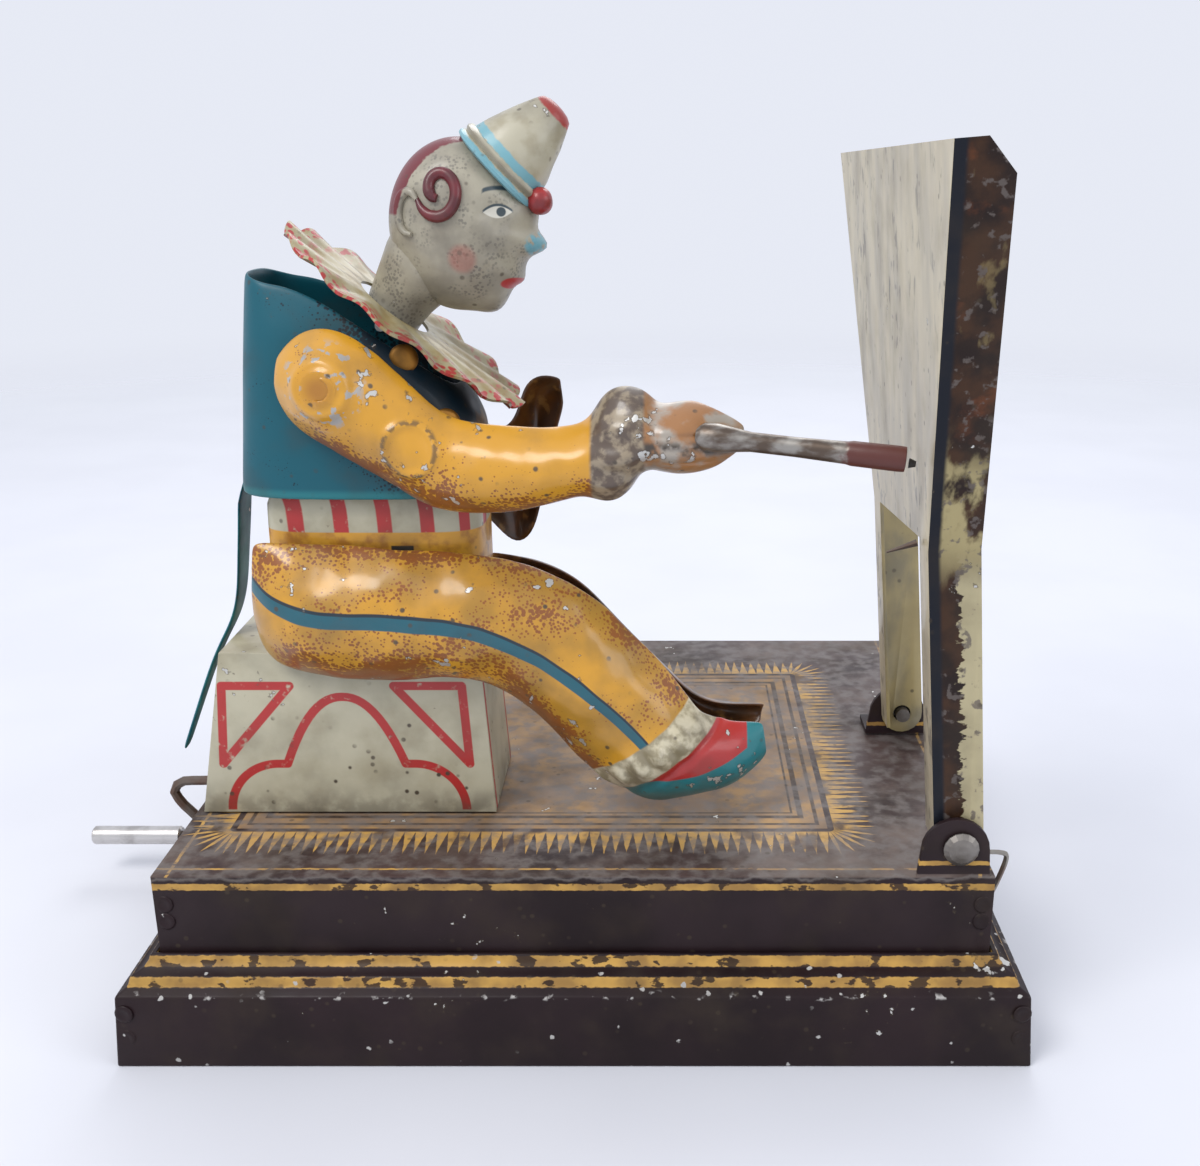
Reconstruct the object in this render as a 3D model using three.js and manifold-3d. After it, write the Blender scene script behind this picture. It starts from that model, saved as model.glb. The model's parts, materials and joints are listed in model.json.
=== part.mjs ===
// A hand-cranked tin toy: a clown artist sits on a box seat and draws on an easel.
// A crank turns two cam plates inside the base. One swings the clown, the other lifts the drawing arm.
// Millimetres, +Z up. The origin is the centre of the base's underside, +X points at the easel,
// and the crank comes out of the -X end.
import * as THREE from "three";
import { mergeVertices } from "three/addons/utils/BufferGeometryUtils.js";
import Module from "manifold-3d";

const wasm = await Module();
wasm.setup();

// ---- Driving dimensions ----
const GAP = 0.3; // between pieces that touch
const TIN = 0.6; // sheet thickness of the pressed pieces
const BASE = { halfX: 54.7, halfY: 44.4, top: 25.1, wall: 0.8 };
const PLINTH = { halfX: 60, halfY: 49.7, top: 10.2, lipTop: 14.2 };
const FLOOR_PLATE = 0.9;
const SEAT = { x0: -53.5, x1: -12, y0: -27.1, y1: -8, top: 49.2 };
const SEAT_TAPER = { back: 4.2, front: 1.5, side: 0.8 };
const MIDPLANE = -17.5; // the clown's middle, across the base
const SPINDLE = new THREE.Vector2(-26.5, MIDPLANE); // upright axis that the clown swings about
const TUBE = { outer: 2.2, inner: 1.3, bottom: 5.4, top: 80 };
const WAIST_TOP = 70.6;
const HEM = 71;
const SHOULDER = new THREE.Vector2(-30.3, 86.8); // x, z of the arm's pivot
const NECK = new THREE.Vector2(-24.6, 93.2); // x, z of the head's pivot
const PIVOT = { x: 49.9, z: 29.3, nearY: -43.2, farY: -0.4 }; // easel hinge and its legs' outer faces
const EASEL = { lean: THREE.MathUtils.degToRad(4.6), half: 3.2, sheet: 0.5, height: 86.4 };
const SHAFT = { y: 0, z: 17, radius: 0.8 }; // crank shaft, along X
const CAM = { x: 16, y: 0 }; // upright axis of the cams
const WHEEL = { teeth: 48, pitch: 22, disc: 9.6, discThick: 1, toothTop: 14.2 };
const PINION = { teeth: 8, root: 2.6, tip: 4.7, width: 2.4 };
const TOOTH = 0.9;
const RIVET_HEAD = 2.3;
const ROUND = 16; // sides of a small round piece

// ---- Finishes ----
const finish = (color, roughness, metalness) => ({ color, roughness, metalness });
const LACQUER = finish(0x1d1613, 0.3, 0.3);
const CREAM = finish(0xcfc6a8, 0.4, 0.2);
const YELLOW = finish(0xd9a520, 0.35, 0.2);
const TEAL = finish(0x0f6670, 0.4, 0.2);
const RED = finish(0xb3202a, 0.4, 0.2);
const STEEL = finish(0x8a8a88, 0.4, 0.9);
const BRIGHT = finish(0xc9cacb, 0.25, 0.95);
const BRASS = finish(0xa88642, 0.4, 0.9);
const BROWN = finish(0x54300f, 0.4, 0.3);
const GRAPHITE = finish(0x141414, 0.6, 0.1);

const toy = new THREE.Group();

// ---- Helpers ----
const v2 = (x, y) => new THREE.Vector2(x, y);
const v3 = (x, y, z) => new THREE.Vector3(x, y, z);
const lerp = THREE.MathUtils.lerp;
const range = (n) => Array.from({ length: n }, (_, i) => i);

function piece(name, geometry, look, group = toy) {
  const mesh = new THREE.Mesh(geometry, new THREE.MeshStandardMaterial(look));
  mesh.name = name;
  group.add(mesh);
  return mesh;
}

function solid(geometry) {
  const bare = geometry.index ? geometry.toNonIndexed() : geometry.clone();
  bare.deleteAttribute("normal");
  bare.deleteAttribute("uv");
  const merged = mergeVertices(bare, 1e-4);
  return new wasm.Manifold(
    new wasm.Mesh({
      numProp: 3,
      vertProperties: merged.attributes.position.array,
      triVerts: new Uint32Array(merged.index.array),
    }),
  );
}

function geometryOf(body) {
  const mesh = body.getMesh();
  return new THREE.BufferGeometry()
    .setAttribute("position", new THREE.Float32BufferAttribute(mesh.vertProperties, 3))
    .setIndex(new THREE.Uint32BufferAttribute(mesh.triVerts, 1));
}

const join = (...parts) => geometryOf(parts.map(solid).reduce((a, b) => a.add(b)));
const cut = (body, ...tools) => geometryOf(tools.map(solid).reduce((a, b) => a.subtract(b), solid(body)));

function block(x0, x1, y0, y1, z0, z1) {
  return new THREE.BoxGeometry(x1 - x0, y1 - y0, z1 - z0)
    .translate((x0 + x1) / 2, (y0 + y1) / 2, (z0 + z1) / 2);
}

// A round bar between two points; a second radius makes it a cone.
function rod(from, to, radius, sides = ROUND, endRadius = radius) {
  const along = to.clone().sub(from);
  const turn = new THREE.Quaternion().setFromUnitVectors(v3(0, 1, 0), along.clone().normalize());
  return new THREE.CylinderGeometry(endRadius, radius, along.length(), sides)
    .applyQuaternion(turn)
    .translate(...from.clone().add(to).multiplyScalar(0.5).toArray());
}

// A ring standing on z0 around an upright axis.
function ring(x, y, z0, z1, inner, outer, sides = 24) {
  const profile = [v2(inner, z0), v2(outer, z0), v2(outer, z1), v2(inner, z1), v2(inner, z0)];
  return new THREE.LatheGeometry(profile, sides).rotateX(Math.PI / 2).translate(x, y, 0);
}

// A wire of round section along a smooth curve through the points.
function wire(points, radius, steps, sides = 8) {
  const section = new THREE.Shape(range(sides).map((i) => {
    const a = (2 * Math.PI * i) / sides;
    return v2(radius * Math.cos(a), radius * Math.sin(a));
  }));
  const path = new THREE.CatmullRomCurve3(points, false, "centripetal");
  return new THREE.ExtrudeGeometry(section, { steps, extrudePath: path, bevelEnabled: false });
}

// An outline in X and Z, given thickness along Y from y0 to y1.
function slab(outline, y0, y1) {
  return new THREE.ExtrudeGeometry(new THREE.Shape(outline), { depth: y1 - y0, bevelEnabled: false })
    .rotateX(Math.PI / 2)
    .translate(0, y1, 0);
}

// An outline in X and Y, given thickness along Z.
function disc(outline, z0, z1) {
  return new THREE.ExtrudeGeometry(new THREE.Shape(outline), { depth: z1 - z0, bevelEnabled: false })
    .translate(0, 0, z0);
}

// An outline in Y and Z, given thickness along X.
function panel(outline, x0, x1) {
  return new THREE.ExtrudeGeometry(new THREE.Shape(outline), { depth: x1 - x0, bevelEnabled: false })
    .applyMatrix4(new THREE.Matrix4().makeBasis(v3(0, 1, 0), v3(0, 0, 1), v3(1, 0, 0)))
    .translate(x0, 0, 0);
}

// Triangles to a geometry, turned round if they came out inside out.
function closedSurface(points, triangles) {
  let volume = 0;
  for (const [a, b, c] of triangles) volume += points[a].dot(points[b].clone().cross(points[c]));
  const index = triangles.flatMap(([a, b, c]) => (volume > 0 ? [a, b, c] : [a, c, b]));
  return new THREE.BufferGeometry().setFromPoints(points).setIndex(index);
}

// A solid through rings of points with the same count, each end closed by a fan.
function loft(rings) {
  const count = rings[0].length;
  const points = rings.flat();
  const triangles = [];
  for (const i of range(rings.length - 1)) {
    for (const j of range(count)) {
      const a = i * count + j;
      const b = i * count + ((j + 1) % count);
      triangles.push([a, b, a + count], [b, b + count, a + count]);
    }
  }
  for (const [row, flip] of [[0, true], [rings.length - 1, false]]) {
    const middle = rings[row].reduce((sum, p) => sum.add(p), v3(0, 0, 0)).multiplyScalar(1 / count);
    const centre = points.push(middle) - 1;
    for (const j of range(count)) {
      const a = row * count + j;
      const b = row * count + ((j + 1) % count);
      triangles.push(flip ? [b, a, centre] : [a, b, centre]);
    }
  }
  return closedSurface(points, triangles);
}

// A bent sheet: a grid of points and a second skin one thickness behind it. round joins the row ends.
function sheet(rows, thickness, round = false) {
  const high = rows.length;
  const wide = rows[0].length;
  const at = (i, j) => rows[Math.min(Math.max(i, 0), high - 1)][
    round ? (j + wide) % wide : Math.min(Math.max(j, 0), wide - 1)];
  const front = rows.flat();
  const back = range(high * wide).map((k) => {
    const i = Math.floor(k / wide);
    const j = k % wide;
    const down = at(i + 1, j).clone().sub(at(i - 1, j));
    const across = at(i, j + 1).clone().sub(at(i, j - 1));
    return rows[i][j].clone().addScaledVector(down.cross(across).normalize(), thickness);
  });
  const points = [...front, ...back];
  const other = high * wide;
  const triangles = [];
  const quad = (a, b, c, d) => triangles.push([a, b, c], [a, c, d]);
  const columns = round ? wide : wide - 1;
  for (const i of range(high - 1)) {
    for (const j of range(columns)) {
      const a = i * wide + j;
      const b = i * wide + ((j + 1) % wide);
      quad(a, b, b + wide, a + wide);
      quad(a + other, a + wide + other, b + wide + other, b + other);
    }
  }
  for (const j of range(columns)) {
    const next = (j + 1) % wide;
    const last = (high - 1) * wide;
    quad(j, j + other, next + other, next);
    quad(last + j, last + next, last + next + other, last + j + other);
  }
  if (!round) {
    for (const i of range(high - 1)) {
      const a = i * wide;
      const b = a + wide - 1;
      quad(a, a + wide, a + wide + other, a + other);
      quad(b, b + other, b + wide + other, b + wide);
    }
  }
  return closedSurface(points, triangles);
}

// Points spread evenly along a smooth line through [x, z] pairs.
function smooth(pairs, count) {
  const curve = new THREE.CatmullRomCurve3(pairs.map(([x, z]) => v3(x, 0, z)), false, "centripetal");
  return range(count).map((i) => curve.getPointAt(i / (count - 1)));
}

// A half-pressed limb between its upper and lower edges. Its edges lie on edgeY(x), and it bulges from them.
function pressing(upper, lower, count, edgeY, bulge, thickness) {
  const across = 7;
  const tops = smooth(upper, count);
  const bottoms = smooth(lower, count);
  const rows = tops.map((top, i) => range(across).map((j) => {
    const t = j / (across - 1);
    const p = bottoms[i].clone().lerp(top, t);
    const end = Math.min(1, Math.sin((Math.PI * (i + 0.35)) / (count - 0.3)) * 2.2);
    p.y = edgeY(p.x) + bulge * Math.sin(Math.PI * t) ** 0.6 * end;
    return p;
  }));
  return sheet(rows, thickness);
}

// A domed solid: an outline in X and Z that shrinks towards its centre in steps as it rises along Y.
function dome(outline, centre, y0, levels) {
  return loft(levels.map(([scale, rise]) => outline.map(([x, z]) =>
    v3(lerp(centre[0], x, scale), y0 + rise, lerp(centre[1], z, scale)))));
}

// ---- Base ----
// A four-sided stack of levels, each with its half sizes and height.
function stack(levels) {
  return loft(levels.map(([hx, hy, z]) => [v3(-hx, -hy, z), v3(hx, -hy, z), v3(hx, hy, z), v3(-hx, hy, z)]));
}

function plinth() {
  // The outside steps in over the ogee moulding and ends in a lip around the box wall.
  const { halfX, halfY, top, lipTop } = PLINTH;
  const outside = [[0, 0], [0.6, top], [1.9, 10.9], [2.2, 12.1], [3.6, 12.7], [4.1, 13.4], [4.3, lipTop]];
  const inside = [[1, -1], [1.4, top - 1.2], [5, top + 0.4], [5, lipTop + 1]];
  const levels = (profile) => profile.map(([inset, z]) => [halfX - inset, halfY - inset, z]);
  return cut(stack(levels(outside)), stack(levels(inside)));
}
piece("plinth_frame", plinth(), LACQUER);

const plateX = PLINTH.halfX - 1.5;
const plateY = PLINTH.halfY - 1.5;
piece("bottom_plate", block(-plateX, plateX, -plateY, plateY, 0, FLOOR_PLATE), STEEL);

// The near wall carries a half-round ear for the easel's near pivot.
function earOutline(bottom) {
  const radius = 4.4;
  const arc = range(13).map((i) => (Math.PI * i) / 12);
  const top = arc.map((a) => v2(PIVOT.x - 0.6 + radius * Math.cos(a), PIVOT.z - 0.4 + radius * Math.sin(a)));
  return [v2(PIVOT.x - 5.6, bottom), v2(PIVOT.x + 4.2, bottom), ...top];
}
const RIVET = { shank: 1.1, hole: 1.4 };
function rivetHole(y0, y1) {
  return rod(v3(PIVOT.x, y0, PIVOT.z), v3(PIVOT.x, y1, PIVOT.z), RIVET.hole);
}

// The clearance hole for the torso tube.
function tubeHole(z0, z1) {
  return rod(v3(SPINDLE.x, SPINDLE.y, z0), v3(SPINDLE.x, SPINDLE.y, z1), TUBE.outer + 0.4, 20);
}

const CLIP_HOLE = v3(BASE.halfX, -40, 18.8);
function baseBox() {
  const { halfX, halfY, top, wall } = BASE;
  const bottom = FLOOR_PLATE + GAP;
  const shell = cut(
    block(-halfX, halfX, -halfY, halfY, bottom, top),
    block(-halfX + wall, halfX - wall, -halfY + wall, halfY - wall, bottom - 1, top - wall),
  );
  const ear = slab(earOutline(top - 2), -halfY, -halfY + wall);
  return cut(
    join(shell, ear),
    tubeHole(top - 2, top + 1),
    rod(v3(-halfX - 1, SHAFT.y, SHAFT.z), v3(-halfX + 2, SHAFT.y, SHAFT.z), 2.1),
    rod(CLIP_HOLE.clone().add(v3(-2, 0, 0)), CLIP_HOLE.clone().add(v3(1, 0, 0)), 0.9, 12),
    rivetHole(-halfY - 1, -halfY + 2),
  );
}
piece("base_box", baseBox(), LACQUER);

// The far ear is a small bracket on the base's top.
function farEar() {
  const y0 = PIVOT.farY + GAP;
  const foot = BASE.top + GAP;
  const bracket = join(
    slab(earOutline(foot), y0, y0 + BASE.wall),
    block(PIVOT.x - 5.6, PIVOT.x + 4.2, y0, y0 + 6, foot, foot + BASE.wall),
  );
  return cut(bracket, rivetHole(y0 - 1, y0 + 2));
}
piece("far_ear", farEar(), LACQUER);

// Each rivet passes an ear and a leg, with its head on the ear's outside.
function rivet(headY, outward, length) {
  const headProfile = [[0, 1.1], [0.9, 1.0], [1.7, 0.7], [RIVET_HEAD, 0.2], [RIVET_HEAD, 0], [0, 0]];
  const head = new THREE.LatheGeometry(headProfile.map(([r, h]) => v2(r, h)).reverse(), ROUND)
    .scale(1, outward, 1);
  if (outward < 0) head.setIndex(Array.from(head.index.array).reverse());
  head.translate(PIVOT.x, headY, PIVOT.z);
  const along = (offset) => v3(PIVOT.x, headY + outward * offset, PIVOT.z);
  return join(head, rod(along(0.1), along(-length), RIVET.shank));
}
piece("near_rivet", rivet(-BASE.halfY - GAP, -1, 3), STEEL);
piece("far_rivet", rivet(PIVOT.farY + 2 * GAP + BASE.wall, 1, 3), STEEL);

// A bent wire hooks into the end wall and presses on the near leg.
piece(
  "easel_spring",
  wire(
    [v3(52.6, -40, 18.8), v3(54.9, -40, 18.9), v3(55.6, -40, 20.3), v3(57, -40.4, 25.3), v3(56.8, -40.8, 26.4),
      v3(55.8, -41.2, 26.9), v3(54, -42, 27.4)],
    0.35, 30, 6,
  ),
  STEEL,
);

// ---- Seat ----
function seatBox() {
  const { x0, x1, y0, y1, top } = SEAT;
  const { back, front, side } = SEAT_TAPER;
  const bottom = BASE.top + GAP;
  const level = (left, right, near, far, z) =>
    [v3(left, near, z), v3(right, near, z), v3(right, far, z), v3(left, far, z)];
  const tapered = (inset, z0, z1) => loft([
    level(x0 + inset, x1 - inset, y0 + inset, y1 - inset, z0),
    level(x0 + back + inset, x1 - front - inset, y0 + side + inset, y1 - side - inset, z1),
  ]);
  const mouth = block(x0 + 1, x1 - 1, y0 + 1, y1 - 1, bottom - 1, bottom + 0.5);
  const shell = cut(tapered(0, bottom, top), join(tapered(TIN, bottom + 0.2, top - TIN), mouth));
  return cut(shell, tubeHole(top - 3, top + 1));
}
piece("seat_box", seatBox(), CREAM);

// ---- Waist and legs, fixed on the seat ----
// A flat-sided rounded loop around the middle plane, from x0 to x1.
function loop(x0, x1, halfWidth, z, count, square = 0.5) {
  return range(count).map((j) => {
    const a = (2 * Math.PI * j) / count;
    const c = Math.cos(a);
    const s = Math.sin(a);
    return v3(
      (x0 + x1) / 2 + ((x1 - x0) / 2) * Math.sign(c) * Math.abs(c) ** square,
      MIDPLANE + halfWidth * Math.sign(s) * Math.abs(s) ** square,
      typeof z === "function" ? z(c) : z,
    );
  });
}
const WAIST_LEVELS = [[49.5, 8.4], [56, 8.6], [63, 8.6], [WAIST_TOP, 8.3]];
piece(
  "waist",
  sheet(WAIST_LEVELS.map(([z, w]) => loop(-42.4, -12.6, w, z, 28, 0.45)), TIN, true),
  CREAM,
);

const LEG_TOP = [
  [-42.5, 65.5], [-28, 64.5], [-9, 63], [-3, 61], [2, 58], [7, 53], [12, 47.5], [16, 42],
  [20, 39.5], [25.5, 39.5],
];
const LEG_BOTTOM = [
  [-43, 57], [-42, 49.5], [-36.5, 47], [-26, 46], [-15.5, 46.5], [-9, 44], [-3.5, 39], [1, 33.5],
  [5, 30.5], [9, 28], [15, 28.5], [22, 31], [26, 35],
];
piece("near_leg", pressing(LEG_TOP, LEG_BOTTOM, 24, () => -27.7, -5.6, TIN), YELLOW);

const FAR_TOP = [[-14.5, 58.5], [-7, 57], [-1, 54], [5, 47.5], [11, 41], [18, 34.5], [27.5, 34]];
const FAR_BOTTOM = [
  [-14.5, 50], [-10.5, 51], [-4.5, 48], [7, 37.5], [16, 30], [18.5, 28], [23, 28.5], [27, 30.5],
];
piece("far_leg", pressing(FAR_TOP, FAR_BOTTOM, 16, () => -7.4, 5.2, TIN), BROWN);

// ---- Crank, pinion and cams ----
const crank = new THREE.Group();
toy.add(crank);
piece(
  "crank_wire",
  wire(
    [v3(-4.4, 0, SHAFT.z), v3(-14, 0, SHAFT.z), v3(-30, 0, SHAFT.z), v3(-56, 0, SHAFT.z), v3(-64, 0, SHAFT.z),
      v3(-67.4, 0, 16.7), v3(-68.6, 0, 15.2), v3(-67.6, 0, 13), v3(-65, 0, 9.8), v3(-64.6, 0, 8),
      v3(-66.2, 0, 7), v3(-70, 0, 7), v3(-81.5, 0, 7)],
    SHAFT.radius, 64,
  ),
  STEEL,
  crank,
);
function grip() {
  const axisPoint = (x) => v3(x, 0, 7);
  const bore = rod(axisPoint(-67), axisPoint(-82), SHAFT.radius + GAP);
  return cut(rod(axisPoint(-68.2), axisPoint(-82.8), 1.5), bore);
}
piece("crank_grip", grip(), BRIGHT, crank);

// A ring around the crank shaft, from x0 to x1.
function shaftRing(x0, x1, inner, outer) {
  return new THREE.LatheGeometry(
    [v2(inner, x0), v2(outer, x0), v2(outer, x1), v2(inner, x1), v2(inner, x0)], ROUND,
  ).rotateZ(-Math.PI / 2).translate(0, SHAFT.y, SHAFT.z);
}
const RUNNING = SHAFT.radius + GAP;
piece("shaft_collar", shaftRing(-51.8, -50, RUNNING, 2.4), BRASS, crank);
piece("shaft_bush", join(shaftRing(-55.9, -55, RUNNING, 2.5), shaftRing(-55.2, -52.6, RUNNING, 1.8)), BRASS);

function pinion() {
  const x0 = CAM.x - WHEEL.pitch - PINION.width / 2;
  const x1 = x0 + PINION.width;
  const teeth = range(PINION.teeth).map((i) =>
    block(x0, x1, -TOOTH / 2, TOOTH / 2, -PINION.tip, -PINION.root + 0.4)
      .rotateX((2 * Math.PI * i) / PINION.teeth)
      .translate(0, SHAFT.y, SHAFT.z));
  return join(shaftRing(x0, x1, RUNNING, PINION.root), ...teeth);
}
piece("pinion", pinion(), BRASS, crank);

function bearingBracket() {
  const top = BASE.top - BASE.wall - GAP;
  const bracket = join(block(-11, -10.2, -4, 4, 12.5, top), block(-17, -10.4, -4, 4, top - 0.8, top));
  return cut(bracket, rod(v3(-13, 0, SHAFT.z), v3(-8, 0, SHAFT.z), RUNNING, 12));
}
piece("bearing_bracket", bearingBracket(), STEEL);

const HUB = { inner: 1.6, outer: 3.2 };
const cams = new THREE.Group();
toy.add(cams);
function crownWheel() {
  const rim = WHEEL.pitch + 1.4;
  const top = WHEEL.disc + WHEEL.discThick;
  const plate = ring(CAM.x, CAM.y, WHEEL.disc, top, HUB.outer + GAP, rim, 48);
  const teeth = range(WHEEL.teeth).map((i) =>
    block(WHEEL.pitch - 1.4, rim - 0.1, -TOOTH / 2, TOOTH / 2, top - 0.3, WHEEL.toothTop)
      .rotateZ((2 * Math.PI * (i + 0.5)) / WHEEL.teeth)
      .translate(CAM.x, CAM.y, 0));
  return join(plate, ...teeth);
}
piece("crown_wheel", crownWheel(), BRASS, cams);

// A flat cam with a wavy edge around its round eye.
function camPlate(z, radius, waves) {
  const outline = range(60).map((i) => {
    const a = (2 * Math.PI * i) / 60;
    const wave = ([size, times, start]) => size * Math.cos(times * a + start);
    const r = radius + waves.reduce((sum, each) => sum + wave(each), 0);
    return v2(CAM.x + r * Math.cos(a), CAM.y + r * Math.sin(a));
  });
  const eye = rod(v3(CAM.x, CAM.y, z - 1), v3(CAM.x, CAM.y, z + 2), HUB.outer + GAP, 24);
  return cut(disc(outline, z, z + 1), eye);
}
piece("swing_cam", camPlate(6.4, 16.4, [[1.1, 2, 0.4], [0.8, 5, 1.2]]), STEEL, cams);
piece("lift_cam", camPlate(19.4, 16.2, [[1.2, 3, 0.9], [0.7, 4, 0.2]]), STEEL, cams);
piece("cam_hub", ring(CAM.x, CAM.y, 4.4, 21.2, HUB.inner, HUB.outer), BRASS, cams);
piece(
  "cam_spindle",
  join(
    rod(v3(CAM.x, CAM.y, FLOOR_PLATE + GAP), v3(CAM.x, CAM.y, 23.2), HUB.inner - GAP),
    rod(v3(CAM.x, CAM.y, FLOOR_PLATE + GAP), v3(CAM.x, CAM.y, 4), 4.5),
    rod(v3(CAM.x, CAM.y, 21.6), v3(CAM.x, CAM.y, 23.2), 2.6),
  ),
  STEEL,
);

// ---- Followers ----
const toCams = v2(CAM.x - SPINDLE.x, CAM.y - SPINDLE.y);
const camDistance = toCams.length();
const camBearing = toCams.angle();
const SWING_FOOT = 22.5; // the swing lever's foot, from the cam axis
const swingLength = Math.sqrt(camDistance ** 2 - SWING_FOOT ** 2);
const swingBearing = camBearing + Math.asin(SWING_FOOT / camDistance);
function swingLever() {
  const arm = block(1.5, swingLength, -1.1, 1.1, 6.4, 7.4);
  const eye = rod(v3(0, 0, 6.4), v3(0, 0, 8.4), 4.2, 20);
  const foot = rod(v3(swingLength, 0, 6.4), v3(swingLength, 0, 7.4), 1.6, 12);
  return cut(join(arm, eye, foot), rod(v3(0, 0, 5), v3(0, 0, 10), TUBE.outer + GAP, 20))
    .rotateZ(swingBearing)
    .translate(SPINDLE.x, SPINDLE.y, 0);
}

const LIFT = { pivot: camDistance - 24.8, reach: 19.4, z: 3.7, half: 0.7, footZ: 20 };
function alongCams(geometry) {
  return geometry.rotateZ(camBearing).translate(SPINDLE.x, SPINDLE.y, 0);
}
function liftLever() {
  const { pivot, reach, z, half, footZ } = LIFT;
  const outline = [v2(-1.6, z - half), v2(pivot + 1.1, z - 1.3), v2(pivot + 1.1, footZ - 0.8),
    v2(camDistance - reach, footZ - 0.8), v2(camDistance - reach, footZ + 0.4), v2(pivot - 0.6, footZ + 0.4),
    v2(pivot - 0.6, z + 1.2), v2(-1.6, z + half)];
  const lever = slab(outline, -0.5, 0.5);
  return alongCams(cut(lever, rod(v3(pivot, -2, z), v3(pivot, 2, z), 0.9, 12)));
}
piece("lift_lever", liftLever(), STEEL);
function leverBracket() {
  const { pivot, z } = LIFT;
  const base = FLOOR_PLATE + GAP;
  const cheek = block(pivot - 2, pivot + 2, 0.9, 1.7, base, z + 1.6);
  const foot = block(pivot - 2, pivot + 2, 0.9, 6, base, base + 0.6);
  return alongCams(cut(join(cheek, foot), rod(v3(pivot, 0, z), v3(pivot, 3, z), 0.9, 12)));
}
piece("lever_bracket", leverBracket(), STEEL);
const leverPin = rod(v3(LIFT.pivot, -1.4, LIFT.z), v3(LIFT.pivot, 2.4, LIFT.z), 0.6, 10);
piece("lever_pin", alongCams(leverPin), BRIGHT);

// ---- Torso, which swings on the spindle ----
const torso = new THREE.Group();
toy.add(torso);
piece("swing_lever", swingLever(), STEEL, torso);
const torsoTube = ring(SPINDLE.x, SPINDLE.y, TUBE.bottom, TUBE.top, TUBE.inner, TUBE.outer, 20);
piece("torso_tube", torsoTube, BRASS, torso);
const tubeBush = ring(SPINDLE.x, SPINDLE.y, 21.6, BASE.top - BASE.wall - GAP, TUBE.outer + GAP, 4.6, 20);
piece("tube_bush", tubeBush, BRASS);
piece(
  "torso_bridge",
  cut(
    block(-40, -17, MIDPLANE - 4.2, MIDPLANE + 4.2, 76, 76.8),
    rod(v3(SPINDLE.x, SPINDLE.y, 70), v3(SPINDLE.x, SPINDLE.y, 80), TUBE.outer + GAP, 20),
  ),
  STEEL,
  torso,
);
piece(
  "pushrod",
  rod(v3(SPINDLE.x, SPINDLE.y, LIFT.z + LIFT.half + GAP + 0.2), v3(SPINDLE.x, SPINDLE.y, 85.6), 0.9, 12),
  BRIGHT,
);

// The jacket is a flat-sided tube, straight at the back, full in front and cut away for the neck.
const JACKET_FRONT = [
  [HEM, -12], [80, -12.5], [84, -14.5], [89, -18.5], [94, -24], [98.5, -29.5], [100, -31],
];
const JACKET_BACK = [[HEM, -45.5], [100, -42.5]];
const JACKET_HALF = [[HEM, 10.5], [86, 10.5], [92, 9.5], [97, 8], [100, 7]];
function between(table, z) {
  const i = Math.min(Math.max(table.findIndex(([level]) => level >= z), 1), table.length - 1);
  const [z0, a] = table[i - 1];
  const [z1, b] = table[i];
  return lerp(a, b, THREE.MathUtils.clamp((z - z0) / (z1 - z0), 0, 1));
}
function jacket() {
  const columns = 32;
  const levels = 10;
  const rimHeight = (c) => (c < 0 ? 98.4 - 1.6 * c : 98.4 - 13.2 * c ** 1.3);
  const rows = range(levels).map((i) => range(columns).map((j) => {
    const a = (2 * Math.PI * j) / columns;
    const z = lerp(HEM, rimHeight(Math.cos(a)), i / (levels - 1));
    const [back, front, half] = [JACKET_BACK, JACKET_FRONT, JACKET_HALF].map((table) => between(table, z));
    return loop(back, front, half, z, columns, 0.6)[j];
  }));
  const alongShaft = (y) => v3(SHOULDER.x, MIDPLANE + y, SHOULDER.y);
  const hole = rod(alongShaft(-14), alongShaft(-5), 1.5, 12);
  return cut(sheet(rows, TIN, true), hole);
}
piece("jacket", jacket(), TEAL, torso);

function coatTail() {
  const line = smooth([[-46.5, 70.5], [-47.5, 62], [-49, 53], [-52.5, 46.5], [-59, 31]], 14);
  const rows = line.map((p, i) => {
    const half = lerp(3.2, 1.2, i / 13);
    return [-1, 0, 1].map((side) => v3(p.x, MIDPLANE + side * half, p.z));
  });
  return sheet(rows, 0.5);
}
piece("coat_tail", coatTail(), TEAL, torso);

const RUFF = { x: -22.2, z: 93.9, tilt: THREE.MathUtils.degToRad(38.3), long: 18.2, wide: 15.6 };
const SCALLOPS = 14;
function ruff() {
  const outline = range(84).map((i) => {
    const a = (2 * Math.PI * i) / 84;
    const wave = 1 + 0.045 * Math.cos(SCALLOPS * a);
    return v2(RUFF.long * wave * Math.cos(a), RUFF.wide * wave * Math.sin(a));
  });
  return cut(disc(outline, -TIN / 2, TIN / 2), rod(v3(-2, 0, -2), v3(-2, 0, 2), 5.3, 24))
    .rotateY(RUFF.tilt)
    .translate(RUFF.x, MIDPLANE, RUFF.z);
}
piece("ruff", ruff(), CREAM, torso);
piece(
  "neck_pin",
  rod(v3(NECK.x, MIDPLANE - 7, NECK.y), v3(NECK.x, MIDPLANE + 7, NECK.y), 0.7, 10),
  STEEL,
  torso,
);

const FAR_ARM_TOP = [
  [-36, 88], [-33, 91], [-28, 91], [-22, 86], [-16, 79.5], [-11.5, 76], [-9.5, 80], [-7.5, 84.5],
  [-3, 84],
];
const FAR_ARM_BOTTOM = [
  [-36.5, 84], [-33, 80], [-27, 76], [-20, 69.5], [-13.5, 61.5], [-9, 58], [-6.5, 64], [-4.5, 73],
  [-2.5, 80],
];
piece("far_arm", pressing(FAR_ARM_TOP, FAR_ARM_BOTTOM, 16, () => -5.9, 4.4, TIN), BROWN, torso);

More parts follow.
